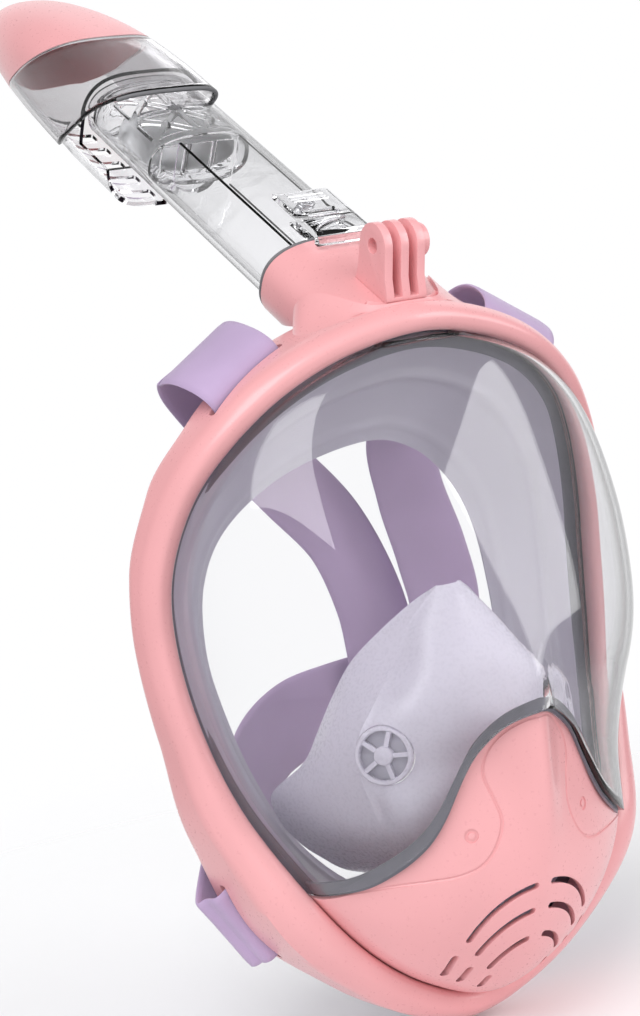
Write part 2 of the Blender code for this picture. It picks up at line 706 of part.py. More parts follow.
def head_limits(s):
    """Half width, front and rear of the head at s."""
    nose = sqrt(max(0.0, 1 - max(0.0, (s - 265) / (HEAD_TIP - 265)) ** 2.2))
    fall = sqrt(max(0.0, 1 - max(0.0, (s - 255) / (HEAD_TIP - 255)) ** 2))
    lift = sqrt(max(0.0, 1 - max(0.0, (s - 285) / (HEAD_TIP - 285)) ** 2.5))
    front = HEAD_TIP_V + (HEAD_FRONT - HEAD_TIP_V) * fall
    rear = HEAD_TIP_V + (HEAD_REAR - HEAD_TIP_V) * lift
    return HEAD_HALF_WIDTH * nose, front, rear


def roundness(s):
    """Superellipse power of the head's section, boxier where it holds the tube."""
    return 0.6 + 0.3 * float(np.clip((s - 245) / 70, 0, 1))


def low_line(v):
    """Lower end of the head: level at the front, lower at the back."""
    return 221 + (v - HEAD_FRONT) * 0.2


def cap_line(v):
    """Seam between the cap and the body."""
    return 268 + (16 - v) * 1.05


def head_point(angle, start, end, share, inset):
    """Point on the head's skin: angle round the section, share of the way from start to end."""
    v = 0.0
    for _ in range(4):
        s = start(v) + (end(v) - start(v)) * share
        width, front, rear = head_limits(min(s, HEAD_TIP - 0.3))
        width, front, rear = max(width - inset, 0.4), front - inset, rear + inset
        middle, depth = (front + rear) / 2, max((front - rear) / 2, 0.4)
        v = middle + depth * abs(sin(angle)) ** roundness(s) * np.sign(sin(angle))
    x = width * abs(cos(angle)) ** roundness(s) * np.sign(cos(angle))
    return along(min(s, HEAD_TIP - inset), x, v)


def head_rings(start, end, shares, inset, count=28):
    return [[head_point(2 * pi * k / count, start, end, f, inset) for k in range(count)] for f in shares]


def sleeve_line(v):
    """Lower end of the sleeve: it rises towards the rear, as the cap's seam does."""
    return 219.5 + (16 - v) * 0.95


def make_head():
    tip = lambda v: HEAD_TIP
    shares = [0, 0.25, 0.5, 0.7, 0.85, 0.95, 0.995]
    outer = head_rings(lambda v: cap_line(v) + 0.3, tip, shares, 0.0)
    inner = head_rings(lambda v: cap_line(v) + 0.3, tip, shares, 2.2)
    add("head_cap", *cup(outer, inner), (PINK, 0.35))

    skin = SLEEVE_THICK + GAP
    body_shares = [0, 0.25, 0.5, 0.75, 1.0]
    outer = head_rings(low_line, lambda v: cap_line(v) - 0.3, body_shares, skin)
    body = add("head_body", *loft(outer), (CLEAR, 0.1, 0.0, 0.35))
    room = head_rings(lambda v: low_line(v) + 1.6, lambda v: cap_line(v) + 1.0, body_shares, skin + 1.4)
    cut(body, *loft(room), "drain_room")
    cut(body, *block(-26.5, 26.5, [(190, -TUBE_HALF_DEPTH - GAP), (TUBE_END + GAP, -TUBE_HALF_DEPTH - GAP),
                                   (TUBE_END + GAP, 30), (190, 30)]), "tube_seat")
    slots = []
    for k in range(6):
        s = 217 + 12 * k
        for x0, x1 in ((-16, -2), (2, 16)):
            corners = [(x0, s), (x1, s), (x1, s + 6), (x0, s + 6)]
            slots.append(prism(corners, lambda x, s, v: along(s, x, v), -34, -22))
    cut(body, *join(slots), "drain_slots")

    first, last = radians(-28), radians(208)
    grid = []
    for share in body_shares:
        row = []
        for k in range(25):
            angle = first + (last - first) * k / 24
            row.append(head_point(angle, sleeve_line, lambda v: cap_line(v) - 0.3, share, 0.0))
        grid.append(row)
    add("head_sleeve", *sheet(grid, SLEEVE_THICK, tuple(along(250, 0, -8))), (SMOKE, 0.1, 0.0, 0.5))


def make_float():
    """Float in its cage: it rises with the water and closes the seat with its seal."""
    half_x, half_v = TUBE_HALF_WIDTH - TUBE_WALL - 0.5, TUBE_HALF_DEPTH - TUBE_WALL - 0.5
    cage = add("float_cage", *loft(rings([CAGE_LOW, CAGE_HIGH], lambda s: oval(20, half_x, half_v))),
               (CLEAR, 0.1, 0.0, 0.35))
    room = rings([CAGE_LOW + 1.4, CAGE_HIGH + 1], lambda s: oval(20, half_x - 1.4, half_v - 1.4))
    cut(cage, *loft(room), "float_room")
    floor = [block(x0, x1, [(CAGE_LOW - 1, -6), (CAGE_LOW + 3, -6), (CAGE_LOW + 3, 6), (CAGE_LOW - 1, 6)])
             for x0, x1 in ((-16, -6), (-4.5, 4.5), (6, 16))]
    cut(cage, *join(floor), "floor_windows")

    seat = add("float_seat", *loft(rings([CAGE_HIGH + GAP, CAGE_HIGH + GAP + SEAT_THICK],
                                         lambda s: oval(20, half_x, half_v))), (CLEAR, 0.1, 0.0, 0.35))
    cut(seat, *loft(rings([CAGE_HIGH - 1, CAGE_HIGH + 5], lambda s: oval(16, 11, 3.6))), "air_hole")

    windows = []
    for low, high in ((CAGE_LOW + 4, 212), (214, CAGE_HIGH - 3)):
        for x0, x1 in ((-17, -1), (1, 17)):
            xm, sm, bar = (x0 + x1) / 2, (low + high) / 2, 1.6
            for tri in (((x0 + bar, low), (x1 - bar, low), (xm, sm - bar)),
                        ((x1 - bar, high), (x0 + bar, high), (xm, sm + bar)),
                        ((x0, high - bar), (x0, low + bar), (xm - bar, sm)),
                        ((x1, low + bar), (x1, high - bar), (xm + bar, sm))):
                windows.append(prism(tri, lambda x, s, v: along(s, x, v), -14, 14))
    cut(cage, *join(windows), "truss_windows")

    body = rings([FLOAT_LOW, FLOAT_LOW + 3, FLOAT_HIGH - 3, FLOAT_HIGH],
                 lambda s: oval(24, 17.5, 7.2) if FLOAT_LOW < s < FLOAT_HIGH else oval(24, 14.5, 5.2))
    add("float", *loft(body), ((0.9, 0.9, 0.88), 0.5))
    seal = rings([FLOAT_HIGH + GAP, FLOAT_HIGH + 2.6], lambda s: oval(24, 13.5, 4.8))
    add("float_seal", *loft(seal), (GREY, 0.6))


def make_exhale_flaps():
    """One-way flaps under the side channels, hinged on their outer edges."""
    for side, label in ((1, "left"), (-1, "right")):
        hinge = along(82.5, side * 21.0, 0)
        corners = [(side * 13.6, -6), (side * 21.0, -6), (side * 21.0, 6), (side * 13.6, 6)]
        points, faces = loft([[along(s, x, v) for x, v in corners] for s in (82.1, 82.9)])
        add(f"exhale_flap_{label}", points, faces, (GREY, 0.5), origin=hinge)


# ---------------------------------------------------------------- camera mount

def make_mount():
    up = Vector((0, -sin(MOUNT_LEAN), cos(MOUNT_LEAN)))
    back = Vector((0, cos(MOUNT_LEAN), sin(MOUNT_LEAN)))
    eye = Vector(MOUNT_EYE)
    width = 3 * PRONG + 2 * PRONG_GAP
    outline = [(EYE_RADIUS * cos(radians(a)), EYE_RADIUS * sin(radians(a))) for a in range(0, 181, 15)]
    outline += [(-EYE_RADIUS - 0.5, -9), (-EYE_RADIUS - 2.0, -14), (-EYE_RADIUS - 3.5, -26),
                (EYE_RADIUS + 3.5, -26), (EYE_RADIUS + 2.0, -14), (EYE_RADIUS + 0.5, -9)]
    solid = loft([[eye + back * a + up * b + Vector((x, 0, 0)) for a, b in outline]
                  for x in (-width / 2, width / 2)])
    mount = add("camera_mount", *solid, (PINK, 0.35))
    cuts = []
    for x in (-(PRONG + PRONG_GAP) / 2, (PRONG + PRONG_GAP) / 2):
        corners = [(-14, -15.2), (14, -15.2), (14, 12), (-14, 12)]
        cuts.append(loft([[eye + back * a + up * b + Vector((x + e, 0, 0)) for a, b in corners]
                          for e in (-PRONG_GAP / 2, PRONG_GAP / 2)]))
    cut(mount, *join(cuts), "finger_gaps")
    cut(mount, *rod(eye, (1, 0, 0), BORE_RADIUS, -12, 12, 20), "screw_bore")
    seat_width = ease(BEZEL_WIDTH, 0) + 0.4 + GAP
    low, high = 60, RIM_HALF[0][2] + seat_width
    corners = [(-20, -90), (20, -90), (20, 0), (-20, 0)]
    cut(mount, *prism(corners, lambda x, y, z: Vector((x, y, z)), low, high), "mount_seat")
    cut(mount, *socket_solid(GAP), "socket_seat")
    ring = [(BORE_RADIUS, 0), (5.6, 0), (5.6, 2.6), (5.0, 3.2), (BORE_RADIUS, 3.2)]
    nut = turned(eye + Vector((width / 2 + GAP, 0, 0)), (1, 0, 0), ring, 18)
    add("mount_nut", *nut, (PINK, 0.35))
    return mount


# ---------------------------------------------------------------- straps

def strap_ends(t, slot_y, upper):
    """Strap stations at a frame slot, from its thick sewn end inside to the first free bend."""
    p, out = rim(t)
    run = Vector((-out.z, 0, out.x)) * (1 if t > 0 else -1)
    width = ease(BEZEL_WIDTH, side_of(t)) + 0.4
    if upper:
        route = [(4.6, slot_y), (width + 1, slot_y), (width + 6, slot_y + 5), (width + 9.5, slot_y + 15),
                 (width + 8.5, slot_y + 24), (width + 3, slot_y + 29)]
    else:
        route = [(width - 7, slot_y), (width + 0.6, slot_y), (width + 2.6, slot_y + 4),
                 (width + 2.4, slot_y + 12)]
    return [(Vector((p.x, 0, p.z)) + out * n + Vector((0, d, 0)), run) for n, d in route]


def make_strap(name, stations, look):
    """Flat strap through stations of (centre, width direction)."""
    centres = [c for c, w in stations]
    widths = [Vector(w).normalized() for c, w in stations]
    steps = 3 * (len(stations) - 1)
    rows = []
    for k in range(steps + 1):
        t = k / steps
        centre = open_curve(centres, t)
        forward = open_curve(centres, min(1, t + 0.01)) - open_curve(centres, max(0, t - 0.01))
        across = open_curve(widths, t)
        across = (across - forward * across.dot(forward) / forward.length_squared).normalized()
        flat = forward.cross(across).normalized()
        rows.append([centre + across * a * STRAP_WIDTH / 2 + flat * b * STRAP_THICK / 2
                     for a, b in ((-1, -1), (1, -1), (1, 1), (-1, 1))])
    return add(name, *loft(rows), look)


def make_straps():
    """Head harness hanging slack: two upper bands sewn at their lower ends on to one lower band."""
    right = strap_ends(-UPPER_SLOT_T, UPPER_SLOT_Y, True)
    right += [(Vector((-40, 4, 90)), (0.85, 0.1, 0.5)), (Vector((-24, 20, 76)), (0.75, 0.2, 0.6)),
              (Vector((-4, 34, 59)), (0.7, 0.2, 0.65)), (Vector((18, 41, 36)), (0.85, 0.2, 0.5)),
              (Vector((29, 42, 10)), (0.98, 0.1, 0.2)), (Vector((32, 41, -14)), (0.98, 0, 0.1)),
              (Vector((33, 40, -40)), (1, 0, 0))]
    make_strap("strap_upper_right", align(right), (LILAC, 0.6))

    left = strap_ends(UPPER_SLOT_T, UPPER_SLOT_Y, True)
    left += [(Vector((46, 6, 88)), (0.9, 0.1, -0.4)), (Vector((43, 27, 68)), (0.95, 0.2, -0.2)),
             (Vector((48, 34, 46)), (0.97, 0.1, 0.1)), (Vector((54, 34, 22)), (0.97, 0, 0.15)),
             (Vector((56, 33, 0)), (0.98, 0, 0.05)), (Vector((47, 35, -20)), (0.98, 0, 0.1)),
             (Vector((41, 37, -38)), (0.98, 0, 0.1))]
    make_strap("strap_upper_left", align(left), (LILAC, 0.6))

    lower = strap_ends(-LOWER_SLOT_T, LOWER_SLOT_Y, False)
    lower += [(Vector((-50, 14, -54)), (-0.5, 0, 0.85)), (Vector((-32, 32, -38)), (-0.3, 0, 0.95)),
              (Vector((-12, 42, -30)), (-0.1, 0, 1)), (Vector((10, 46, -28)), (0, 0, 1)),
              (Vector((32, 48, -28)), (0, 0, 1)), (Vector((54, 45, -30)), (0.1, 0, 1)),
              (Vector((69, 29, -42)), (0.4, 0, 0.9)), (Vector((73, 6, -57)), (0.6, 0, 0.8))]
    lower += [(c, w) for c, w in reversed(strap_ends(LOWER_SLOT_T, LOWER_SLOT_Y, False))]
    make_strap("strap_lower", align(lower), (LILAC, 0.6))


def align(stations):
    """Turns each width direction to the same side as the one before it."""
    fixed = [stations[0]]
    for centre, across in stations[1:]:
        across = Vector(across)
        fixed.append((centre, across if across.dot(fixed[-1][1]) >= 0 else -across))
    return fixed


def clear_scene():
    for obj in list(bpy.data.objects):
        bpy.data.objects.remove(obj)


clear_scene()
make_frame()
make_lens()
make_chin_cover()
make_clamp_ring()
make_face_skirt()
make_nose_pocket()
make_valves()
make_socket()
make_gasket()
make_tube()
make_latch()
make_head()
make_float()
make_exhale_flaps()
make_mount()
make_straps()
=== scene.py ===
from functools import lru_cache
from math import cos, exp, pi, radians, sin, sqrt

import bpy
import bmesh
import numpy as np
from mathutils import Matrix, Vector


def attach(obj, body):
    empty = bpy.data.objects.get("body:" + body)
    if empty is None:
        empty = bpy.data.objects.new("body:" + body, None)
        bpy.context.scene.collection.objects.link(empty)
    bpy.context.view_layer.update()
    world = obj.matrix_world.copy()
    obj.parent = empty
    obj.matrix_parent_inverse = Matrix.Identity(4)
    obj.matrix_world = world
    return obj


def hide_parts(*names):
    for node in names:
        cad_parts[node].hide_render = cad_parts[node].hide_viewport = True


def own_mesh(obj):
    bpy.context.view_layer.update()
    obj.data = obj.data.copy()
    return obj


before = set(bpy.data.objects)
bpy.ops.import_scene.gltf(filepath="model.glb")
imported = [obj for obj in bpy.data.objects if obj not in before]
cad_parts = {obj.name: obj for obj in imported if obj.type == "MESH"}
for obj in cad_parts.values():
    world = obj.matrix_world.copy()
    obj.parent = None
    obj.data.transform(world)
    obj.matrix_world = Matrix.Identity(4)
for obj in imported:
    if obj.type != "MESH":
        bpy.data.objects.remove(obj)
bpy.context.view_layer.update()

MM = 0.001

# ---------------------------------------------------------------- camera first

camera = bpy.data.objects.new("camera", bpy.data.cameras.new("camera"))
bpy.context.scene.collection.objects.link(camera)
camera.matrix_world = Matrix(((0.8479, 0.1752, -0.5003, -0.4208),
                              (-0.5133, 0.0358, -0.8575, -0.70295),
                              (-0.1323, 0.9839, 0.1203, 0.1495),
                              (0, 0, 0, 1)))
camera.data.lens = 85.04
camera.data.clip_end = 50
bpy.context.scene.camera = camera

# ---------------------------------------------------------------- dimensions, in millimetres

RIM_HALF = [(0, -60, 108.5), (25, -56, 104.5), (47, -51.5, 95.5), (64, -44, 82), (76, -34, 65),
            (83, -26, 42), (83.5, -23.5, 18), (80, -26.5, -10), (73.3, -34.5, -37), (61, -48, -65),
            (43.5, -49.5, -88), (22, -46.5, -105), (0, -43.5, -113.6)]
SEAL_HALF = [(0, -18, 73), (26, -7, 66), (46, 3, 51), (56, 6.5, 33), (59, 6, 10), (57, 2, -12),
             (52, -4, -35), (42, -9, -58), (23, -13, -78), (0, -15, -86)]
BEZEL_WIDTH = ([0, 3, 7, 8.2, 9.2, 10.4, 12], [10.0, 9.5, 9.5, 12.5, 15.0, 12.5, 10.6])
FRAME_REAR_Y = ([0, 3, 4, 5, 6, 8, 9.3, 10.5, 12], [-28, -25, -19, -14, -12, -12, -12, -22, -28])
LENS_LOW_Z = ([0, 4, 8, 12, 16, 20, 25, 30, 35, 40, 46, 53, 60],
              [-10.7, -11.5, -13.2, -15.7, -19, -23.2, -31.7, -40.7, -47.7, -52.5, -57, -61.5, -64.3])
CREST, CREST_WIDTH, CREST_Z = 8.0, 8.0, -24.0
HALF = len(RIM_HALF) - 1
CHANNEL = 4.2
LENS_THICK = 2.0
CHIN_THICK = 2.1
LENS_TOP, CHIN_LOW = 107.6, -111.6

TUBE_ANGLE = radians(30.7)
TUBE_CENTRE = 88.9 + 50 * sin(TUBE_ANGLE)
TUBE_SHIFT = -50 * cos(TUBE_ANGLE)
TUBE_X, TUBE_V, TUBE_WALL = 23.0, 12.2, 1.8
TUBE_START, TUBE_END, HALL_START, DIVIDER_X = 87.0, 238.0, 188.0, 12.0
MOUTH, SOCKET_FOOT, SOCKET_WALL = 103.0, 52.0, 2.8
HEAD_X, HEAD_FRONT, HEAD_REAR, HEAD_TIP, HEAD_TIP_V = 27.0, 16.0, -29.5, 357.0, -20.0
MOUNT_EYE = Vector((0, -50, 137.4))
MOUNT_LEAN = radians(18)
STRAP_WIDTH, STRAP_THICK = 31.0, 1.6
UPPER_SLOT_T, LOWER_SLOT_T, UPPER_SLOT_Y, LOWER_SLOT_Y = 2.1, 9.15, -37.5, -21.0

PINK = (0.83, 0.395, 0.41)
SILICONE = (0.56, 0.53, 0.62)
LILAC = (0.50, 0.37, 0.58)


# ---------------------------------------------------------------- curves and surfaces

def mirror_half(half):
    return [Vector(p) for p in list(half) + [(-x, y, z) for x, y, z in half[-2:0:-1]]]


def spline(a, b, c, d, f):
    """Catmull-Rom curve from b to c, f of the way along."""
    return 0.5 * (2 * b + (c - a) * f + (2 * a - 5 * b + 4 * c - d) * f * f
                  + (3 * b - a - 3 * c + d) * f ** 3)


def closed_curve(points, t):
    n = len(points)
    i = int(np.floor(t)) % n
    return spline(points[i - 1], points[i], points[(i + 1) % n], points[(i + 2) % n], t - np.floor(t))


def open_curve(points, t):
    n = len(points) - 1
    i = min(int(t * n), n - 1)
    b, c = points[i], points[i + 1]
    a = points[i - 1] if i else 2 * b - c
    d = points[i + 2] if i + 2 <= n else 2 * c - b
    return spline(a, b, c, d, t * n - i)


def ease(table, t):
    keys, values = table
    i = int(np.clip(np.searchsorted(keys, t, side="right") - 1, 0, len(keys) - 2))
    f = np.clip((t - keys[i]) / (keys[i + 1] - keys[i]), 0, 1)
    f = f * f * (3 - 2 * f)
    return values[i] * (1 - f) + values[i + 1] * f


def smooth(table, t):
    """Hermite curve through a table's points."""
    keys, values = np.array(table[0], float), np.array(table[1], float)
    slope = np.gradient(values, keys)
    i = int(np.clip(np.searchsorted(keys, t, side="right") - 1, 0, len(keys) - 2))
    h = keys[i + 1] - keys[i]
    f = np.clip((t - keys[i]) / h, 0, 1)
    return float((2 * f ** 3 - 3 * f ** 2 + 1) * values[i] + (f ** 3 - 2 * f ** 2 + f) * h * slope[i]
                 + (3 * f ** 2 - 2 * f ** 3) * values[i + 1] + (f ** 3 - f ** 2) * h * slope[i + 1])


RIM, SEAL = mirror_half(RIM_HALF), mirror_half(SEAL_HALF)
FINE = [closed_curve(RIM, HALF * k / 480) for k in range(481)]
RIM_Z = np.array([p.z for p in reversed(FINE)])
RIM_X = np.array([p.x for p in reversed(FINE)])
RIM_Y = np.array([p.y for p in reversed(FINE)])
RIM_T = np.array([HALF * k / 480 for k in range(480, -1, -1)])


def rim_x(z):
    return float(np.interp(z, RIM_Z, RIM_X))


def rim(t):
    """Point of the rim and the way out from it, at position t."""
    p = closed_curve(RIM, t)
    tangent = closed_curve(RIM, t + 0.05) - closed_curve(RIM, t - 0.05)
    out = Vector((-tangent.z, 0, tangent.x)).normalized()
    return p, out if out.dot(Vector((p.x, 0, p.z))) > 0 else -out


def side_of(t):
    t = t % (2 * HALF)
    return min(t, 2 * HALF - t)


def rim_offset(t, n, depth):
    p, out = rim(t)
    return Vector((p.x, p.y + depth, p.z)) + out * n


def dome(x, z, front_y, inset=0.0):
    half = rim_x(z) - inset
    side = float(np.interp(z, RIM_Z, RIM_Y))
    power = 2 - 0.6 * exp(-((z + 50) / 38) ** 2)
    share = max(0.0, 1 - min(1.0, abs(x) / max(half, 0.01)) ** power) ** (1 / power)
    crest = CREST * exp(-((z - CREST_Z) / 24) ** 2)
    return side - (side - front_y - crest) * share - crest * exp(-(x / CREST_WIDTH) ** 2)


def lens_front(z):
    return -103.0 + 43 * np.clip((z + 8) / 116.5, 0, 1) ** 1.5


def chin_front(z):
    if z > -20:
        return -99.5 + 0.9 * ((z + 20) / 11) ** 2
    return -43.5 - 56 * sqrt(max(0.0, 1 - ((z + 20) / 93.6) ** 2))


def along(s, x, v):
    c, k = cos(TUBE_ANGLE), sin(TUBE_ANGLE)
    s, v = s + TUBE_SHIFT, v + TUBE_CENTRE
    return Vector((x, s * c - v * k, s * k + v * c))


def oval(count, half_x, half_v, power=2.6, shift=0.0):
    pairs = []
    for k in range(count):
        cx, sv = cos(2 * pi * k / count), sin(2 * pi * k / count)
        pairs.append((half_x * abs(cx) ** (2 / power) * np.sign(cx),
                      shift + half_v * abs(sv) ** (2 / power) * np.sign(sv)))
    return pairs


def rings(levels, outline):
    return [[along(s, x, v) for x, v in outline(s)] for s in levels]


# ---------------------------------------------------------------- meshes

def grid_faces(rows, columns, wrap_rows=False, wrap_columns=False, start=0):
    faces = []
    for r in range(rows if wrap_rows else rows - 1):
        for c in range(columns if wrap_columns else columns - 1):
            a, b = start + r * columns + c, start + r * columns + (c + 1) % columns
            e = start + ((r + 1) % rows) * columns
            faces.append((a, b, e + (c + 1) % columns, e + c))
    return faces


def loft(rows, closed=False):
    count = len(rows[0])
    faces = grid_faces(len(rows), count, closed, True)
    if not closed:
        faces += [tuple(range(count)), tuple(range((len(rows) - 1) * count, len(rows) * count))]
    return [p for row in rows for p in row], faces


def hollow(outer, inner):
    return loft(list(outer) + list(reversed(inner)), closed=True)


def cup(outer, inner):
    return loft(list(reversed(outer)) + list(inner))


def sweep(section, stations):
    rows = [section(2 * HALF * k / stations) for k in range(stations)]
    return [p for row in rows for p in row], grid_faces(stations, len(rows[0]), True, True)


def sheet(grid, thick, inward):
    pts = np.array([[tuple(p) for p in row] for row in grid])
    n = np.cross(np.gradient(pts, axis=0), np.gradient(pts, axis=1))
    n /= np.maximum(np.linalg.norm(n, axis=2, keepdims=True), 1e-9)
    back = pts + n * np.sign(((np.array(inward) - pts) * n).sum(axis=2, keepdims=True)) * thick
    rows, columns = pts.shape[:2]
    half = rows * columns
    faces = grid_faces(rows, columns) + grid_faces(rows, columns, start=half)
    edge = list(range(columns)) + [r * columns + columns - 1 for r in range(1, rows)]
    edge += [(rows - 1) * columns + c for c in range(columns - 2, -1, -1)]
    edge += [r * columns for r in range(rows - 2, 0, -1)]
    for k, a in enumerate(edge):
        b = edge[(k + 1) % len(edge)]
        faces.append((a, b, b + half, a + half))
    return [Vector(p) for p in np.concatenate([pts.reshape(-1, 3), back.reshape(-1, 3)])], faces


def spin_to(axis):
    return Vector(axis).normalized().to_track_quat("Z", "Y").to_matrix()


def rod(origin, axis, radius, start, end, count=32):
    spin = spin_to(axis)
    ring = [(radius * cos(2 * pi * k / count), radius * sin(2 * pi * k / count)) for k in range(count)]
    return loft([[Vector(origin) + spin @ Vector((x, y, h)) for x, y in ring] for h in (start, end)])


def turned(origin, axis, profile, count=48):
    spin = spin_to(axis)
    rows = [[Vector(origin) + spin @ Vector((r * cos(2 * pi * k / count), r * sin(2 * pi * k / count), h))
             for r, h in profile] for k in range(count)]
    return [p for row in rows for p in row], grid_faces(count, len(profile), True, True)


def prism(outline, place, low, high):
    return loft([[place(a, b, h) for a, b in outline] for h in (low, high)])


def block(x0, x1, outline):
    return loft([[along(s, x, v) for s, v in outline] for x in (x0, x1)])


def join(shapes):
    points, faces = [], []
    for pts, fcs in shapes:
        faces += [tuple(i + len(points) for i in f) for f in fcs]
        points += pts
    return points, faces


def pipe(path, radius, count=12):
    """Round bar along a list of points."""
    rows = []
    for k, p in enumerate(path):
        forward = (path[min(k + 1, len(path) - 1)] - path[max(k - 1, 0)]).normalized()
        side = forward.cross(Vector((0.3, 1, 0.2))).normalized()
        up = forward.cross(side)
        rows.append([p + (side * cos(2 * pi * j / count) + up * sin(2 * pi * j / count)) * radius
                     for j in range(count)])
    return loft(rows)


def mesh_object(name, points, faces, sharp=35):
    mesh = bpy.data.meshes.new(name)
    mesh.from_pydata([Vector(p) * MM for p in points], [], faces)
    work = bmesh.new()
    work.from_mesh(mesh)
    bmesh.ops.remove_doubles(work, verts=work.verts, dist=0.005 * MM)
    bmesh.ops.dissolve_degenerate(work, edges=work.edges, dist=0.001 * MM)
    bmesh.ops.recalc_face_normals(work, faces=work.faces)
    work.to_mesh(mesh)
    work.free()
    mesh.shade_smooth()
    mesh.set_sharp_from_angle(angle=radians(sharp))
    obj = bpy.data.objects.new(name, mesh)
    bpy.context.scene.collection.objects.link(obj)
    return obj


def piece(name, shape, look, body, nodes, sharp=35):
    """A visual piece: rides on a body and stands for CAD nodes."""
    obj = mesh_object(name, *shape, sharp=sharp)
    obj.data.materials.append(look)
    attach(obj, body)
    if nodes:
        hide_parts(*nodes)
    return obj


def boolean(obj, shape, operation="DIFFERENCE", folded=False):
    """Cuts or joins a shape at once, so that no modifier stays; folded is for walls that fold over."""
    tool = mesh_object("tool", *shape)
    mod = obj.modifiers.new("cut", "BOOLEAN")
    mod.operation, mod.solver, mod.object, mod.use_self = operation, "EXACT", tool, folded
    apply_modifiers(obj)
    bpy.data.objects.remove(tool)


def apply_modifiers(obj, sharp=35):
    graph = bpy.context.evaluated_depsgraph_get()
    mesh = bpy.data.meshes.new_from_object(obj.evaluated_get(graph))
    obj.modifiers.clear()
    obj.data = mesh
    mesh.shade_smooth()
    mesh.set_sharp_from_angle(angle=radians(sharp))


def bevel(obj, width, segments=3, angle=35):
    mod = obj.modifiers.new("bevel", "BEVEL")
    mod.width, mod.segments = width * MM, segments
    mod.limit_method, mod.angle_limit = "ANGLE", radians(angle)
    apply_modifiers(obj)


# ---------------------------------------------------------------- materials

def new_material(name):
    mat = bpy.data.materials.new(name)
    mat.use_nodes = True
    return mat, mat.node_tree, mat.node_tree.nodes["Principled BSDF"]


def put(node, values):
    for name, value in values.items():
        node.inputs[name].default_value = value


def noise(tree, scale, detail):
    node = tree.nodes.new("ShaderNodeTexNoise")
    put(node, {"Scale": scale, "Detail": detail})
    coords = tree.nodes.new("ShaderNodeTexCoord")
    tree.links.new(coords.outputs["Object"], node.inputs["Vector"])
    return node


def spread(tree, source, low, high):
    """Maps a 0..1 texture value to low..high."""
    node = tree.nodes.new("ShaderNodeMapRange")
    put(node, {"From Min": 0.3, "From Max": 0.7, "To Min": low, "To Max": high})
    tree.links.new(source, node.inputs["Value"])
    return node.outputs["Result"]


def tint(tree, factor, first, second):
    node = tree.nodes.new("ShaderNodeMix")
    node.data_type = "RGBA"
    put(node, {"A": (*first, 1), "B": (*second, 1)})
    tree.links.new(factor, node.inputs["Factor"])
    return node.outputs["Result"]


def bump(tree, shader, height, strength, distance):
    node = tree.nodes.new("ShaderNodeBump")
    put(node, {"Strength": strength, "Distance": distance * MM})
    tree.links.new(height, node.inputs["Height"])
    tree.links.new(node.outputs["Normal"], shader.inputs["Normal"])


def shade(colour, k):
    return tuple(min(1.0, c * k) for c in colour)


def mottle(tree, shader, scale, detail, darker, lighter):
    """Base colour that drifts slowly between two tones."""
    cloud = noise(tree, scale, detail)
    tree.links.new(tint(tree, spread(tree, cloud.outputs["Fac"], 0, 1), darker, lighter),
                   shader.inputs["Base Color"])


def uneven_gloss(tree, shader, source, low, high):
    tree.links.new(spread(tree, source.outputs["Fac"], low, high), shader.inputs["Roughness"])


def moulded(name, colour, rough, depth=0.02, coat=0.0):
    """Moulded plastic or silicone: slightly uneven colour and gloss and a fine moulded grain."""
    mat, tree, shader = new_material(name)
    mottle(tree, shader, 25, 2.0, shade(colour, 0.96), shade(colour, 1.03))
    speck = noise(tree, 900, 4.0)
    uneven_gloss(tree, shader, speck, rough * 0.88, rough * 1.14)
    put(shader, {"IOR": 1.5, "Coat Weight": coat, "Coat Roughness": 0.12})
    if depth:
        bump(tree, shader, speck.outputs["Fac"], 0.25, depth)
    mat.diffuse_color = (*colour, 1)
    return mat


def clear(name, colour, rough=0.0, ior=1.45, edge=(0.3, 0.7, 0.95), gloss=0.5, density=12):
    """Transparent moulding with painted shade: its colour greys where it is seen edge on, standing in for the
    dark edges that reflections give clear plastic; edge is (grey, from, to) by facing.
    """
    mat, tree, shader = new_material(name)
    facing = tree.nodes.new("ShaderNodeLayerWeight")
    put(facing, {"Blend": 0.5})
    ramp = tree.nodes.new("ShaderNodeMapRange")
    ramp.interpolation_type = "SMOOTHSTEP"
    put(ramp, {"From Min": edge[1], "From Max": edge[2]})
    tree.links.new(facing.outputs["Facing"], ramp.inputs["Value"])
    # painted shade: grey mixed into the base colour by how edge on the surface is seen
    tree.links.new(tint(tree, ramp.outputs["Result"], colour, shade((1, 1, 1.05), edge[0])),
                   shader.inputs["Base Color"])
    haze = noise(tree, 60, 1.5)
    uneven_gloss(tree, shader, haze, rough, rough * 1.6)
    put(shader, {"Transmission Weight": 1.0, "IOR": ior, "Specular IOR Level": gloss})
    depth = tree.nodes.new("ShaderNodeVolumeAbsorption")
    put(depth, {"Color": (0.30, 0.30, 0.32, 1), "Density": density})
    tree.links.new(depth.outputs["Volume"], tree.nodes["Material Output"].inputs["Volume"])
    mat.diffuse_color = (*colour, 0.3)
    return mat


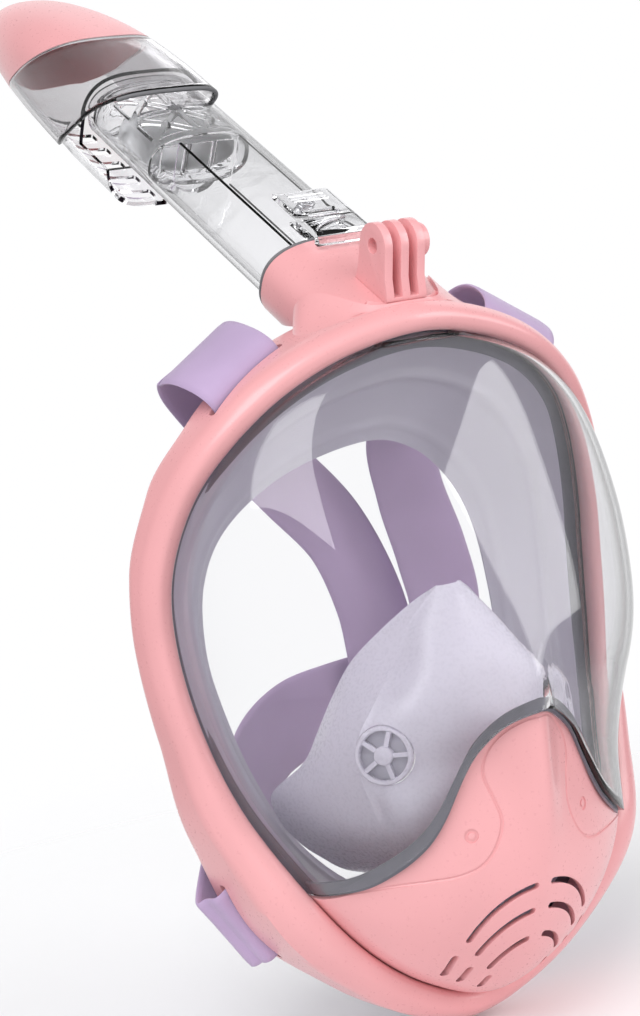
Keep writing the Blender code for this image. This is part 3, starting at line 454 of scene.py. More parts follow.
def banded(name, colour):
    """Elastic band: fine lengthwise ribs crossed by the knit."""
    mat, tree, shader = new_material(name)
    coords = tree.nodes.new("ShaderNodeTexCoord")
    waves = []
    for axis, scale in (("X", 42), ("Y", 30)):
        wave = tree.nodes.new("ShaderNodeTexWave")
        wave.bands_direction = axis
        put(wave, {"Scale": scale, "Distortion": 0.4})
        tree.links.new(coords.outputs["UV"], wave.inputs["Vector"])
        waves.append(wave)
    product = tree.nodes.new("ShaderNodeMath")
    product.operation = "MULTIPLY_ADD"
    product.inputs[1].default_value = 0.4
    tree.links.new(waves[1].outputs["Fac"], product.inputs[0])
    tree.links.new(waves[0].outputs["Fac"], product.inputs[2])
    mottle(tree, shader, 40, 3.0, shade(colour, 0.94), shade(colour, 1.05))
    put(shader, {"Roughness": 0.62, "Sheen Weight": 0.25, "Sheen Roughness": 0.5})
    bump(tree, shader, product.outputs["Value"], 0.35, 0.08)
    mat.diffuse_color = (*colour, 1)
    return mat


def metal(name, colour, rough):
    mat, tree, shader = new_material(name)
    speck = noise(tree, 2000, 3.0)
    put(shader, {"Base Color": (*colour, 1), "Metallic": 1.0})
    uneven_gloss(tree, shader, speck, rough * 0.8, rough * 1.3)
    return mat


pink = moulded("pink_plastic", PINK, 0.30, depth=0, coat=0.2)
skirt_look = moulded("skirt_silicone", SILICONE, 0.36, depth=0.004)
# Painted light: the pocket takes the skirt's silicone made 1.3 times lighter, standing in for the brighter
# light falling on it behind the lens.
pocket_painted_light_look = moulded("pocket_silicone_painted_light", shade(SILICONE, 1.3), 0.28, depth=0.004)
strap_look = banded("strap_elastic", LILAC)
# The edge tuples give each clear moulding its painted edge shade: the grey, and the facing range where it
# comes in.
lens_look = clear("lens_clear", (0.99, 0.99, 0.995), 0.0, 1.45, (0.05, 0.66, 0.86), 0.15, 25)
tube_look = clear("tube_clear", (0.99, 0.99, 0.995), 0.0, 1.4, (0.08, 0.52, 0.85))
part_look = clear("moulding_clear", (0.99, 0.99, 0.995), 0.0, 1.4, (0.55, 0.6, 0.95))
smoke_look = clear("sleeve_smoked", (0.80, 0.79, 0.80), 0.02, 1.4, (0.25, 0.6, 0.95), 0.5, 60)
gasket_look = moulded("gasket_rubber", (0.16, 0.16, 0.17), 0.55)
dark_look = moulded("flap_rubber", (0.10, 0.10, 0.11), 0.5)
ring_look = moulded("clamp_plastic", (0.30, 0.28, 0.33), 0.4)
# Painted shade: a dark grey for the band seen through the lens wall round the rim, where the skirt lies in
# shade.
painted_shade_band_look = moulded("painted_shade_band", (0.17, 0.165, 0.20), 0.35)
flap_look = moulded("valve_rubber", (0.52, 0.50, 0.58), 0.4)
float_look = clear("float_frosted", (0.95, 0.95, 0.96), 0.3)
steel_look = metal("steel", (0.62, 0.62, 0.64), 0.22)


# ---------------------------------------------------------------- frame, lens and chin cover

STATIONS = 288


def frame_section(t):
    p, out = rim(t)
    y, width, rear = p.y, ease(BEZEL_WIDTH, side_of(t)), ease(FRAME_REAR_Y, side_of(t))
    outline = [(0, y + 3.0), (0, y + 0.4), (0.3, y - 0.6), (1.2, y - 1.6), (2.6, y - 2.15)]
    for k in range(9):
        share = k / 8
        outline.append((4.2 + (width - 4.5) * share, y - 2.25 + 6.2 * share ** 2.3))
    low = y + 4.6
    for k in range(1, 7):
        share = k / 6
        outline.append((width - 0.3 + 0.7 * sin(share * pi / 2), low + (rear - 1.4 - low) * share))
    outline += [(width + 0.25, rear - 0.6), (width - 0.15, rear - 0.15), (width - 0.8, rear),
                (width - 2.0, rear), (width - 2.6, rear - 0.4), (width - 2.8, rear - 1.2),
                (max(CHANNEL, width - 5.8), max(y + 11.4, rear - 30)), (CHANNEL, y + 9.5),
                (CHANNEL, y + 3.0)]
    if rear < y + 12.9:
        outline[-3] = (CHANNEL, rear - 1.2)
    return [Vector((p.x, 0, p.z)) + out * n + Vector((0, d, 0)) for n, d in outline]


SLOT_WIDTH, SLOT_DEPTH = STRAP_WIDTH + 3, 3.6


def slot_box(t, y, low, high, corner=1.2):
    """Round-cornered bar through the frame wall, for a strap slot."""
    p, out = rim(t)
    run = Vector((-out.z, 0, out.x))
    base = Vector((p.x, y, p.z))
    outline = []
    for sx, sy, first in ((1, 1, 0), (-1, 1, 90), (-1, -1, 180), (1, -1, 270)):
        for k in range(5):
            a = radians(first + 22.5 * k)
            outline.append((sx * (SLOT_WIDTH / 2 - corner) + corner * cos(a),
                            sy * (SLOT_DEPTH / 2 - corner) + corner * sin(a)))
    return loft([[base + out * n + run * a + Vector((0, b, 0)) for a, b in outline]
                 for n in (low, high)])


def make_frame():
    shell = piece("frame_shell", sweep(frame_section, STATIONS), pink, "mask", ("frame",))
    for side in (1, -1):
        boolean(shell, slot_box(side * UPPER_SLOT_T, UPPER_SLOT_Y, 2, 18))
        boolean(shell, slot_box(side * LOWER_SLOT_T, LOWER_SLOT_Y, 3, 24))
    air_port = prism(oval(64, 21, 6.2), lambda x, y, h: Vector((x, y - 36.5, h)), 100, 126)
    boolean(shell, air_port)


def rim_t(z):
    """Rim position on the wearer's left at height z."""
    return float(np.interp(z, RIM_Z, RIM_T))


def shell_rows(row_z, surface, depth, reach, over_top):
    """Rows of a shell that fills the rim; its sides and one end have a flange into the frame's channel."""
    fan = [sin(pi / 2 * (k / 56 - 1)) for k in range(113)]
    rows = []
    for r in range(len(row_z)):
        row = []
        for q in fan:
            z = row_z[r](abs(q))
            row.append(surface((rim_x(z) - 0.5) * q, z))
        left, right = -rim_t(row[0].z), rim_t(row[-1].z)
        rows.append([rim_offset(left, reach, depth), rim_offset(left, -0.5, depth)] + row[1:-1]
                    + [rim_offset(right, -0.5, depth), rim_offset(right, reach, depth)])
    index = 0 if over_top else -1
    start = rim_t(rows[index][1].z)
    count = len(rows[0])
    extra = []
    for n, trim in ((-0.5, 0.03), (reach, 0.06)):
        row = []
        for k in range(count):
            share = fan[min(max(k - 1, 0), count - 3)]
            if over_top:
                t = (start - trim) * share
            else:
                t = HALF + (HALF - start - trim) * -share
            outer = k in (0, count - 1)
            row.append(rim_offset(t, reach + 0.02 if outer else n, depth))
        extra.append(row)
    return list(reversed(extra)) + rows if over_top else rows + extra


@lru_cache(maxsize=None)
def lens_low(q):
    x = 61 * q
    for _ in range(12):
        low = smooth(LENS_LOW_Z, x)
        x = (rim_x(low) - 0.5) * q
    return low


def lens_row(share):
    return lambda q: LENS_TOP + (lens_low(q) - LENS_TOP) * share


def lens_surface(x, z):
    return Vector((x, dome(x, z, lens_front(z), 0.5) + 0.2, z))


def make_lens():
    shares = [max((r / 84) ** 1.35, 0.004) for r in range(85)]
    rows = shell_rows([lens_row(s) for s in shares], lens_surface, 3.5, CHANNEL - 0.35, True)
    lens = piece("lens_dome", sheet(rows, LENS_THICK, (0, 0, 10)), lens_look, "mask", ("lens",),
                 50)
    bevel(lens, 0.35, 2, 50)


def chin_surface(x, z):
    return Vector((x, dome(x, z, chin_front(z), 0.5) + 0.2, z))


def chin_row(share):
    def height(q):
        top = lens_low(q) - 1.3
        return top + (CHIN_LOW - top) * min(1 - (1 - share) ** 1.25, 0.996)
    return height


GROOVE = [(0, -13.3), (4.5, -13.9), (10.5, -17.6), (15, -23.5), (16.3, -30), (14.2, -38), (13, -45.5),
          (15.8, -53.5), (20.5, -58.8), (27, -61), (34.5, -61.4), (42.5, -61.7), (49.6, -62.4), (56, -63.6)]
VENT_ARCS = [(-93, 24.5, 8, 68), (-98, 20.7, 10, 66), (-102, 14.4, 14, 66),
             (-93, 25.5, 84, 99), (-98, 19.5, 84, 98), (-102.5, 11.5, 84, 102)]


VENT_HALF = 1.1
DIMPLE_X, DIMPLE_Z = 22, -48.6


def vent(centre, radius, start, end, side):
    """Curved slot with round ends, cut through the chin cover."""
    outline = []
    steps = 16
    for offset, order in ((VENT_HALF, range(steps + 1)),
                          (-VENT_HALF, range(steps, -1, -1))):
        for k in order:
            a = radians(start + (end - start) * k / steps)
            outline.append(((radius + offset) * sin(a), centre + (radius + offset) * cos(a)))
        tip = radians(end if offset > 0 else start)
        turn = 1 if offset > 0 else -1
        for k in range(1, 6):
            b = tip + turn * pi / 6 * k * 0.999
            reach = VENT_HALF * cos(pi * k / 6) * turn
            push = VENT_HALF * sin(pi * k / 6) * turn
            outline.append(((radius + reach) * sin(tip) + push * cos(tip),
                            centre + (radius + reach) * cos(tip) - push * sin(tip)))
    return prism([(side * x, z) for x, z in outline], lambda x, z, h: Vector((x, h, z)), -104, -50)


def make_chin_cover():
    rows = shell_rows([chin_row(r / 72) for r in range(73)], chin_surface, 3.8, CHANNEL - 0.55, False)
    cover = piece("chin_cover_shell", sheet(rows, CHIN_THICK, (0, 0, -60)), pink, "mask", ("chin_cover",),
                  40)
    for side in (1, -1):
        path = [chin_surface(side * p.x, p.z) + Vector((0, -0.15, 0))
                for p in [open_curve([Vector((x, 0, z)) for x, z in GROOVE], k / 90) for k in range(91)]]
        boolean(cover, pipe(path, 0.6, 10))
        for arc in VENT_ARCS:
            boolean(cover, vent(*arc, side))
    bevel(cover, 0.35, 2, 45)
    for side in (1, -1):
        x, z = side * DIMPLE_X, DIMPLE_Z
        across = chin_surface(x + side, z) - chin_surface(x - side, z)
        ahead = across.cross(chin_surface(x, z + 1) - chin_surface(x, z - 1)).normalized()
        ahead = ahead if ahead.y < 0 else -ahead
        dimple = turned(chin_surface(x, z), ahead, [(1.15, -0.45), (2.2, -0.45), (2.4, 1.0), (1.0, 1.0)], 40)
        boolean(cover, dimple)


def make_chin_shade_strip():
    """Painted shade: a dark grey strip behind the lens's lower edge, where it beds on the chin cover, for the
    shade seen through the lens there.
    """
    fan = [sin(pi / 2 * (k / 56 - 1) * 0.985) for k in range(113)]
    grid = []
    for rise in (-0.9, 0.6, 2.1, 3.6):
        row = []
        for q in fan:
            z = lens_low(abs(q)) + rise
            x = (rim_x(z) - 0.5) * q
            row.append(lens_surface(x, z))
        grid.append(row)
    points, faces = sheet(grid, LENS_THICK + 0.15, (0, 0, 10))
    count = len(fan)
    behind = points[len(points) // 2:]
    grid = [behind[r * count:(r + 1) * count] for r in range(4)]
    piece("chin_shade_strip", sheet(grid, 0.8, (0, 0, 10)), painted_shade_band_look, "mask", (), 60)


def make_clamp_ring():
    outline = ((-2.7, 8.35), (3.8, 8.35), (3.8, 11.2), (-2.7, 11.2), (-3, 10.9), (-3, 8.65))
    ring = sweep(lambda t: [rim_offset(t, n, d) for n, d in outline], STATIONS)
    piece("clamp_ring_fine", ring, ring_look, "mask", ("clamp_ring",))


def make_face_skirt():
    def section(t):
        edge = closed_curve(SEAL, (t % (2 * HALF)) * len(SEAL) / (2 * HALF))
        start = rim_offset(t, -5.8, 7.0)
        inward = (edge - start).normalized()
        out = rim(t)[1]
        across = (out + Vector((0, 1, 0)) * 0.9).normalized() * 2.0
        front, rear = [], []
        for k in range(1, 30):
            f = k / 30
            sag = 4 * f * (1 - f)
            ridge = 0.8 * exp(-((f - 0.33) / 0.05) ** 2) + 0.4 * exp(-((f - 0.86) / 0.04) ** 2)
            centre = start.lerp(edge, f) + (Vector((0, 2.0, 0)) + out * 1.5) * sag
            front.append(centre - across * ridge)
            rear.append(centre + across)
        bead = [edge + inward * 0.7 - across * 0.15, edge + inward * 1.4 + across * 0.35,
                edge + inward * 1.2 + across * 0.95, edge + inward * 0.2 + across * 1.25]
        flange_front = [rim_offset(t, n, d) for n, d in ((3.7, 6.1), (-5.2, 6.1), (-5.8, 6.5))]
        flange_rear = [rim_offset(t, n, d) for n, d in ((-3.6, 11.8), (-3.6, 8.0), (3.7, 8.0))]
        return flange_front + front + [edge] + bead + list(reversed(rear)) + flange_rear
    skirt = piece("face_skirt_soft", sweep(section, STATIONS), skirt_look, "mask", ("face_skirt",),
                  60)
    # The skirt's front flange faces take the painted shade colour of the dark band seen through the lens
    # wall.
    skirt.data.materials.append(painted_shade_band_look)
    columns = len(skirt.data.polygons) // STATIONS
    for k, face in enumerate(skirt.data.polygons):
        face.material_index = 1 if k % columns < 2 else 0


# ---------------------------------------------------------------- nose pocket and valves

# Half sections of the pocket, top to bottom: height, rear edge, cheek, crease, front corner, nose line.
POCKET = [(26.3, (4, -56), (4.5, -56.8), (4.5, -57.4), (3, -58.2), (0, -58.6)),
          (22, (11, -51.5), (10.5, -53), (9.5, -56), (6.5, -59.6), (0, -61.6)),
          (14, (19.5, -44), (18.5, -47.5), (16.5, -53.5), (12.5, -61.5), (0, -65)),
          (4, (28, -36), (26.5, -43), (23, -54), (17.5, -67), (0, -70)),
          (-7, (35, -32.6), (36, -42), (34.5, -57.5), (25, -70), (0, -73.5)),
          (-17, (40.2, -30), (42, -40.5), (41.0, -56.0), (29.5, -68.4), (0, -77)),
          (-27, (45, -26), (45, -39.5), (41.5, -55.4), (29.5, -67.6), (0, -78)),
          (-38, (51, -12.5), (45.5, -36), (39, -56), (31, -70), (0, -79)),
          (-48, (48.5, -10.5), (43, -34), (36, -56), (28, -69), (0, -77.5)),
          (-57, (43, -12), (37, -32), (31, -52), (23, -64), (0, -71)),
          (-64, (36, -14), (30, -31), (24, -47), (17, -56), (0, -63)),
          (-70, (28, -16), (22, -28), (17, -40), (11, -47), (0, -52)),
          (-74.6, (14, -18), (10, -22), (6, -26), (3, -28), (0, -29))]
VALVE_PLACE = Vector((35.5, -62.0, -22.0))
VALVE_AXIS = Vector((0.72, -0.68, 0.12)).normalized()
VALVE_RADIUS, PURGE_RADIUS = 9.6, 16.0
PURGE_CENTRE = Vector((0, -67, -61.5))
PURGE_AXIS = Vector((0, -0.78, -0.63)).normalized()


def pocket_row(share):
    """Whole level section of the pocket, from its right rear edge round the front to its left."""
    keys = []
    for column in range(1, 6):
        keys.append(open_curve([Vector((*row[column], row[0])) for row in POCKET], share))
    half = [keys[0], keys[1], keys[2].lerp(keys[1], 0.12), keys[2].lerp(keys[3], 0.10), keys[3], keys[4]]
    mirror = [Vector((-p.x, p.y, p.z)) for p in half]
    line = mirror + half[-2::-1]
    return [open_curve(line, k / 120) for k in range(121)]


def mirrored(side, v):
    return Vector((side * v.x, v.y, v.z))


def make_nose_pocket():
    grid = [pocket_row(r / 96) for r in range(97)]
    pocket = piece("nose_pocket_soft", sheet(grid, 1.8, (0, -25, -30)), pocket_painted_light_look, "mask", ("nose_pocket",),
                   60)
    for side in (1, -1):
        place, normal = mirrored(side, VALVE_PLACE), mirrored(side, VALVE_AXIS)
        boolean(pocket, rod(place, normal, VALVE_RADIUS + 0.2, -7, 9, 72), folded=True)
    boolean(pocket, rod(PURGE_CENTRE, PURGE_AXIS, PURGE_RADIUS + 0.35, -12, 14, 72), folded=True)
    bevel(pocket, 0.4, 2, 60)


def spoked(name, place, axis, profile, spokes, hub, inner, look, node, half_spoke=1.0):
    """Turned valve seat with openings between its spokes."""
    disc = piece(name, turned(place, axis, profile, 72), look, "mask", (node,))
    spin = spin_to(axis)
    shapes = []
    for k in range(spokes):
        outline = []
        for r, order in ((inner, range(13)), (hub, range(12, -1, -1))):
            trim = half_spoke / r
            for e in order:
                a = 2 * pi * k / spokes + trim + (2 * pi / spokes - 2 * trim) * e / 12
                outline.append((r * cos(a), r * sin(a)))
        shapes.append(prism(outline, lambda a, b, h: Vector(place) + spin @ Vector((a, b, h)), -5, 5))
    boolean(disc, join(shapes))
    bevel(disc, 0.25, 2, 40)


def make_valves():
    for side, label in ((1, "left"), (-1, "right")):
        place, normal = mirrored(side, VALVE_PLACE), mirrored(side, VALVE_AXIS)
        face = [(0.01, -1.2), (VALVE_RADIUS, -1.2), (VALVE_RADIUS, 1.0), (VALVE_RADIUS - 0.5, 1.4),
                (8.2, 1.4), (7.9, 1.0), (3.2, 1.0), (2.8, 1.5), (1.2, 1.9), (0.01, 2.0)]
        spoked(f"inhale_valve_seat_{label}_fine", place, normal, face, 5, 3.1, 7.9, pocket_painted_light_look,
               f"inhale_valve_seat_{label}", 0.75)
        flap = [(0.01, -2.3), (8.6, -2.3), (8.6, -1.9), (4, -1.5), (0.01, -1.5)]
        piece(f"inhale_flap_{label}_fine", turned(place, normal, flap, 64), flap_look,
              f"inhale_flap_{label}", (f"inhale_flap_{label}",))
    seat = [(0.01, -1.5), (PURGE_RADIUS, -1.5), (PURGE_RADIUS, 1.5), (14, 1.5), (13.5, 1.0), (4, 1.0),
            (0.01, 1.5)]
    spoked("purge_valve_seat_fine", PURGE_CENTRE, PURGE_AXIS, seat, 6, 4.0, 13.5, ring_look,
           "purge_valve_seat")
    flap = [(0.01, 1.8), (14.8, 1.8), (14.8, 2.3), (8, 2.6), (0.01, 2.6)]
    piece("purge_flap_fine", turned(PURGE_CENTRE, PURGE_AXIS, flap, 64), dark_look, "purge_flap",
          ("purge_flap",))


# ---------------------------------------------------------------- snorkel

SOCKET_LEVELS = [SOCKET_FOOT, 60, 68, 76, 84, 92, 98, 101, MOUTH - 0.6, MOUTH]
# Where the frame's riser meets the socket, right half: angle round the socket and distance along it.
RISER = [(-13, 77.4), (-3.7, 78.8), (6, 80.9), (17, 80.4), (28, 79.2), (36, 77.1), (43.9, 73.6),
         (49.4, 70), (54.7, 66), (59.8, 62), (66, 58.7), (73.5, 56.8), (81, 56.2), (90, 56)]
RISER_HOLLOW = 0.16
SHADOW_FRONT = -75


def socket_point(s, angle, extra):
    a, b = TUBE_X + SOCKET_WALL + extra, TUBE_V + SOCKET_WALL + extra
    x = a * abs(cos(angle)) ** (2 / 2.6) * np.sign(cos(angle))
    return along(s, x, b * abs(sin(angle)) ** (2 / 2.6) * np.sign(sin(angle)))


def socket_solid(extra):
    def outline(s):
        lip = 0.6 if s >= MOUTH else 0.0
        return oval(120, TUBE_X + SOCKET_WALL + extra - lip, TUBE_V + SOCKET_WALL + extra - lip)
    return loft(rings(SOCKET_LEVELS, outline))


def frame_shadow(extra):
    """Everything inside the frame's outer wall, to cut away from what stands on it."""
    def section(t):
        width = ease(BEZEL_WIDTH, side_of(t)) + extra
        p, out = rim(t)
        corners = ((-40, SHADOW_FRONT), (width, SHADOW_FRONT), (width, 40), (-40, 40))
        return [Vector((p.x, 0, p.z)) + out * n + Vector((0, d, 0)) for n, d in corners]
    return sweep(section, STATIONS)


def make_socket():
    socket = piece("snorkel_socket_shell", socket_solid(0.0), pink, "mask", ("snorkel_socket",))
    bore = rings([SOCKET_FOOT - 1, MOUTH + 1], lambda s: oval(120, TUBE_X + 0.35, TUBE_V + 0.35))
    boolean(socket, loft(bore))
    top = TUBE_V + SOCKET_WALL
    catch = [(98.6, top - 1.2), (101.6, top - 1.2), (101.6, top + 0.2), (100.6, top + 0.5),
             (98.6, top + 0.5)]
    boolean(socket, block(-8, 8, catch), "UNION")
    boolean(socket, frame_shadow(0.1))


def make_riser():
    """Collar of the frame that rises to the socket: from the bezel's crease up to a seam on the socket."""
    line = [Vector((angle, 0, s)) for angle, s in RISER]
    seam = [open_curve(line, k / 60) for k in range(61)]
    lean = Vector((0, -0.35, -1.0)).normalized()
    grid = []
    for p in seam + [Vector((180 - p.x, 0, p.z)) for p in seam[-2::-1]]:
        angle = radians(p.x)
        top = socket_point(p.z, angle, 0.9)
        root = socket_point(p.z - 1.0, angle, -1.6)
        t = float(np.interp(top.x * 1.42, [-60, 60], [-2.6, 2.6]))
        width = ease(BEZEL_WIDTH, side_of(t))
        foot = rim_offset(t, width - 1.6, 1.4)
        sink = rim_offset(t, width - 3.6, 3.0)
        row = [root, top]
        for k in range(1, 15):
            f = k / 14
            sag = sin(pi * f) * RISER_HOLLOW * (foot - top).length
            row.append(top.lerp(foot, f) + lean * sag * 0.6 + Vector((0, sag * 0.5, 0)))
        row.append(sink)
        grid.append(row)
    piece("frame_riser", sheet(grid, 1.6, (0, -30, 100)), pink, "mask", (), 45)


def make_gasket():
    bulge = {MOUTH + 0.3: -0.3, MOUTH + 0.6: 0.1, MOUTH + 1.0: 0.25, MOUTH + 1.4: 0.1, MOUTH + 1.7: -0.3}
    levels = list(bulge)
    outer = rings(levels, lambda s: oval(120, TUBE_X + 2.3 + bulge[s], TUBE_V + 2.3 + bulge[s]))
    inner = rings(levels, lambda s: oval(120, TUBE_X + 0.35, TUBE_V + 0.35))
    piece("socket_gasket_soft", hollow(outer, inner), gasket_look, "mask", ("socket_gasket",))


def channel(x_low, x_high, s_low, s_high):
    """Air channel of the tube between two walls, with the tube's own curve front and rear."""
    a, b = TUBE_X - TUBE_WALL - 0.1, TUBE_V - TUBE_WALL - 0.1
    xs = [x_low + (x_high - x_low) * k / 32 for k in range(33)]
    height = [b * max(0.02, 1 - min(1, abs(x) / a) ** 2.6) ** (1 / 2.6) for x in xs]
    outline = list(zip(xs, height)) + [(x, -h) for x, h in zip(reversed(xs), reversed(height))]
    return loft([[along(s, x, v) for x, v in outline] for s in (s_low, s_high)])


def make_tube():
    levels = [TUBE_START, TUBE_START + 0.5, 120, 150, 180, 210, TUBE_END - 0.5, TUBE_END]
    trim = {TUBE_START: 0.5, TUBE_END: 0.5}
    outer = rings(levels, lambda s: oval(144, TUBE_X - trim.get(s, 0), TUBE_V - trim.get(s, 0)))
    tube = piece("snorkel_tube_clear", loft(outer), tube_look, "snorkel", ("snorkel_tube",),
                 40)
    side, wall = TUBE_X - TUBE_WALL - 0.3, 0.5
    for low, high in ((-DIVIDER_X + wall, DIVIDER_X - wall), (DIVIDER_X + wall, side),
                      (-side, -DIVIDER_X - wall)):
        boolean(tube, channel(low, high, TUBE_START - 2, HALL_START + 1))
    boolean(tube, loft(rings([HALL_START, TUBE_END + 2],
                             lambda s: oval(144, TUBE_X - TUBE_WALL, TUBE_V - TUBE_WALL))))


PIVOT_S, PIVOT_V, LATCH_HALF = 112.0, 15.8, 10.5
SPRING_S, SPRING_TURNS, SPRING_RADIUS, PRESSED = 121.3, 4, 2.6, 2.0


def rounded(outline, radius, steps=4):
    """Outline with its corners rounded to radius."""
    result = []
    count = len(outline)
    for k in range(count):
        a, b, c = (Vector(outline[(k + d) % count]) for d in (-1, 0, 1))
        r = min(radius, (a - b).length * 0.45, (c - b).length * 0.45)
        p, q = b + (a - b).normalized() * r, b + (c - b).normalized() * r
        for j in range(steps + 1):
            f = j / steps
            result.append(tuple(p * (1 - f) ** 2 + b * 2 * f * (1 - f) + q * f * f))
    return result


def make_latch():
    pivot = along(PIVOT_S, 0, PIVOT_V)
    base = TUBE_V + 0.35
    side = [(106, base), (118, base), (118, base + 1.2), (PIVOT_S + 2.4, base + 1.2),
            (PIVOT_S + 2.2, PIVOT_V + 1.4), (PIVOT_S - 2.2, PIVOT_V + 1.4),
            (PIVOT_S - 2.4, base + 1.2), (106, base + 1.2)]
    bracket = piece("latch_bracket_clear", block(-8, 8, rounded(side, 0.6)), part_look, "snorkel",
                    ("latch_bracket",))
    between = [(104, base + 1.0), (120, base + 1.0), (120, base + 8), (104, base + 8)]
    boolean(bracket, block(-6.2, 6.2, between))
    boolean(bracket, rod(pivot, (1, 0, 0), 1.2, -12, 12))
    bevel(bracket, 0.2, 2, 40)

    top = PIVOT_V + 4.4
    hook = TUBE_V + SOCKET_WALL + 0.9
    lever_side = [(95.6, hook), (98.2, hook), (98.2, top - 2.2), (PIVOT_S - 2.6, top - 2.2),
                  (PIVOT_S - 2.4, PIVOT_V - 1.6), (PIVOT_S + 2.4, PIVOT_V - 1.6),
                  (PIVOT_S + 2.6, top - 2.2), (127, top - 2.0), (127.5, top - 0.6), (126, top), (98.5, top),
                  (95.2, top - 2.4)]
    lever = piece("latch_lever_clear", block(-LATCH_HALF, LATCH_HALF, rounded(lever_side, 0.7)), part_look,
                  "latch", ("latch_lever",))
    beside = [(102, base - 4), (122, base - 4), (122, top - 2.3), (102, top - 2.3)]
    for x0, x1 in ((-14, -5.8), (5.8, 14)):
        boolean(lever, block(x0, x1, beside))
    boolean(lever, rod(pivot, (1, 0, 0), 1.2, -12, 12))
    bevel(lever, 0.5, 3, 40)
    for k in range(4):
        ridge = pipe([along(119.5 + 1.8 * k, x, top + 0.02) for x in (-7, -3, 3, 7)], 0.42, 10)
        boolean(lever, ridge, "UNION")

    pin = [(0.01, -9), (0.85, -9), (1.1, -8.75), (1.1, 8.75), (0.85, 9), (0.01, 9)]
    piece("latch_pin_fine", turned(pivot, (1, 0, 0), pin, 32), steel_look, "snorkel", ("latch_pin",))

    foot, head = base + 0.7, top - 3.1
    path = []
    for k in range(145):
        a, share = 2 * pi * SPRING_TURNS * k / 144, k / 144
        rise = np.clip((share - 0.12) / 0.76, 0, 1)
        path.append(along(SPRING_S + SPRING_RADIUS * cos(a), SPRING_RADIUS * sin(a),
                          foot + (head - foot) * rise))
    spring = piece("latch_spring_fine", pipe(path, 0.38, 10), steel_look, "snorkel", ("latch_spring",))
    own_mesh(spring)


# ---------------------------------------------------------------- dry-top head

def taper(s, start, power):
    """Falls from 1 at start to 0 at the head's tip."""
    return sqrt(max(0.0, 1 - max(0.0, (s - start) / (HEAD_TIP - start)) ** power))


def head_limits(s):
    """Half width, front and rear of the head at s."""
    front = HEAD_TIP_V + (HEAD_FRONT - HEAD_TIP_V) * taper(s, 255, 2)
    rear = HEAD_TIP_V + (HEAD_REAR - HEAD_TIP_V) * taper(s, 285, 2.5)
    return HEAD_X * taper(s, 265, 2.2), front, rear


def roundness(s):
    return 0.6 + 0.3 * float(np.clip((s - 245) / 70, 0, 1))


def low_line(v):
    return 221 + (v - HEAD_FRONT) * 0.2


def cap_line(v):
    return 268 + (HEAD_FRONT - v) * 1.05


def sleeve_line(v):
    return 219.5 + (HEAD_FRONT - v) * 0.95


def head_point(angle, start, end, share, inset):
    v = 0.0
    for _ in range(8):
        s = start(v) + (end(v) - start(v)) * share
        width, front, rear = head_limits(min(s, HEAD_TIP - 0.15))
        width, front, rear = max(width - inset, 0.3), front - inset, rear + inset
        middle, depth = (front + rear) / 2, max((front - rear) / 2, 0.3)
        v = middle + depth * abs(sin(angle)) ** roundness(s) * np.sign(sin(angle))
    x = width * abs(cos(angle)) ** roundness(s) * np.sign(cos(angle))
    return along(min(s, HEAD_TIP - inset), x, v)


def head_rings(start, end, shares, inset):
    return [[head_point(2 * pi * k / 112, start, end, f, inset) for k in range(112)] for f in shares]


SLEEVE_FIRST, SLEEVE_LAST = radians(-28), radians(208)


def make_head():
    def tip(v):
        return HEAD_TIP

    shares = [0, 0.004, 0.01] + [1 - (1 - k / 30) ** 1.7 for k in range(1, 30)] + [0.999]
    outer = head_rings(lambda v: cap_line(v) + 0.3, tip, shares, 0.0)
    inner = head_rings(lambda v: cap_line(v) + 0.3, tip, shares, 2.2)
    cap = piece("head_cap_shell", cup(outer, inner), pink, "snorkel", ("head_cap",), 50)

    skin = 1.4 + 0.35
    steps = [k / 16 for k in range(17)]
    outer = head_rings(low_line, lambda v: cap_line(v) - 0.3, steps, skin)
    body = piece("head_body_clear", loft(outer), part_look, "snorkel", ("head_body",), 40)
    room = head_rings(lambda v: low_line(v) + 1.6, lambda v: cap_line(v) + 1.0, steps, skin + 1.4)
    boolean(body, loft(room))
    v0, s1 = -TUBE_V - 0.35, TUBE_END + 0.35
    boolean(body, block(-26.5, 26.5, [(190, v0), (s1, v0), (s1, 30), (190, 30)]))
    for k in range(6):
        s = 217 + 12 * k
        for x0, x1 in ((-16, -2), (2, 16)):
            corners = rounded([(x0, s), (x1, s), (x1, s + 6), (x0, s + 6)], 1.5)
            boolean(body, prism(corners, lambda x, s, v: along(s, x, v), -34, -22))

    grid = []
    for share in steps:
        grid.append([head_point(SLEEVE_FIRST + (SLEEVE_LAST - SLEEVE_FIRST) * k / 108,
                                sleeve_line, lambda v: cap_line(v) - 0.3, share, 0.0)
                     for k in range(109)])
    sleeve = piece("head_sleeve_smoked", sheet(grid, 1.4, tuple(along(250, 0, -8))), smoke_look, "snorkel",
                   ("head_sleeve",), 50)
    bevel(sleeve, 0.3, 2, 50)
    below = (along(1, 0, 0) - along(0, 0, 0)) * 0.9
    edge = [head_point(radians(14) + radians(116) * k / 80, sleeve_line, cap_line, 0.0, 0.7) - below
            for k in range(81)]
    piece("sleeve_seal", pipe(edge, 0.8, 10), gasket_look, "snorkel", ())


CAGE_LOW, CAGE_HIGH, FLOAT_LOW, FLOAT_HIGH = 192.0, 233.8, 196.0, 221.5


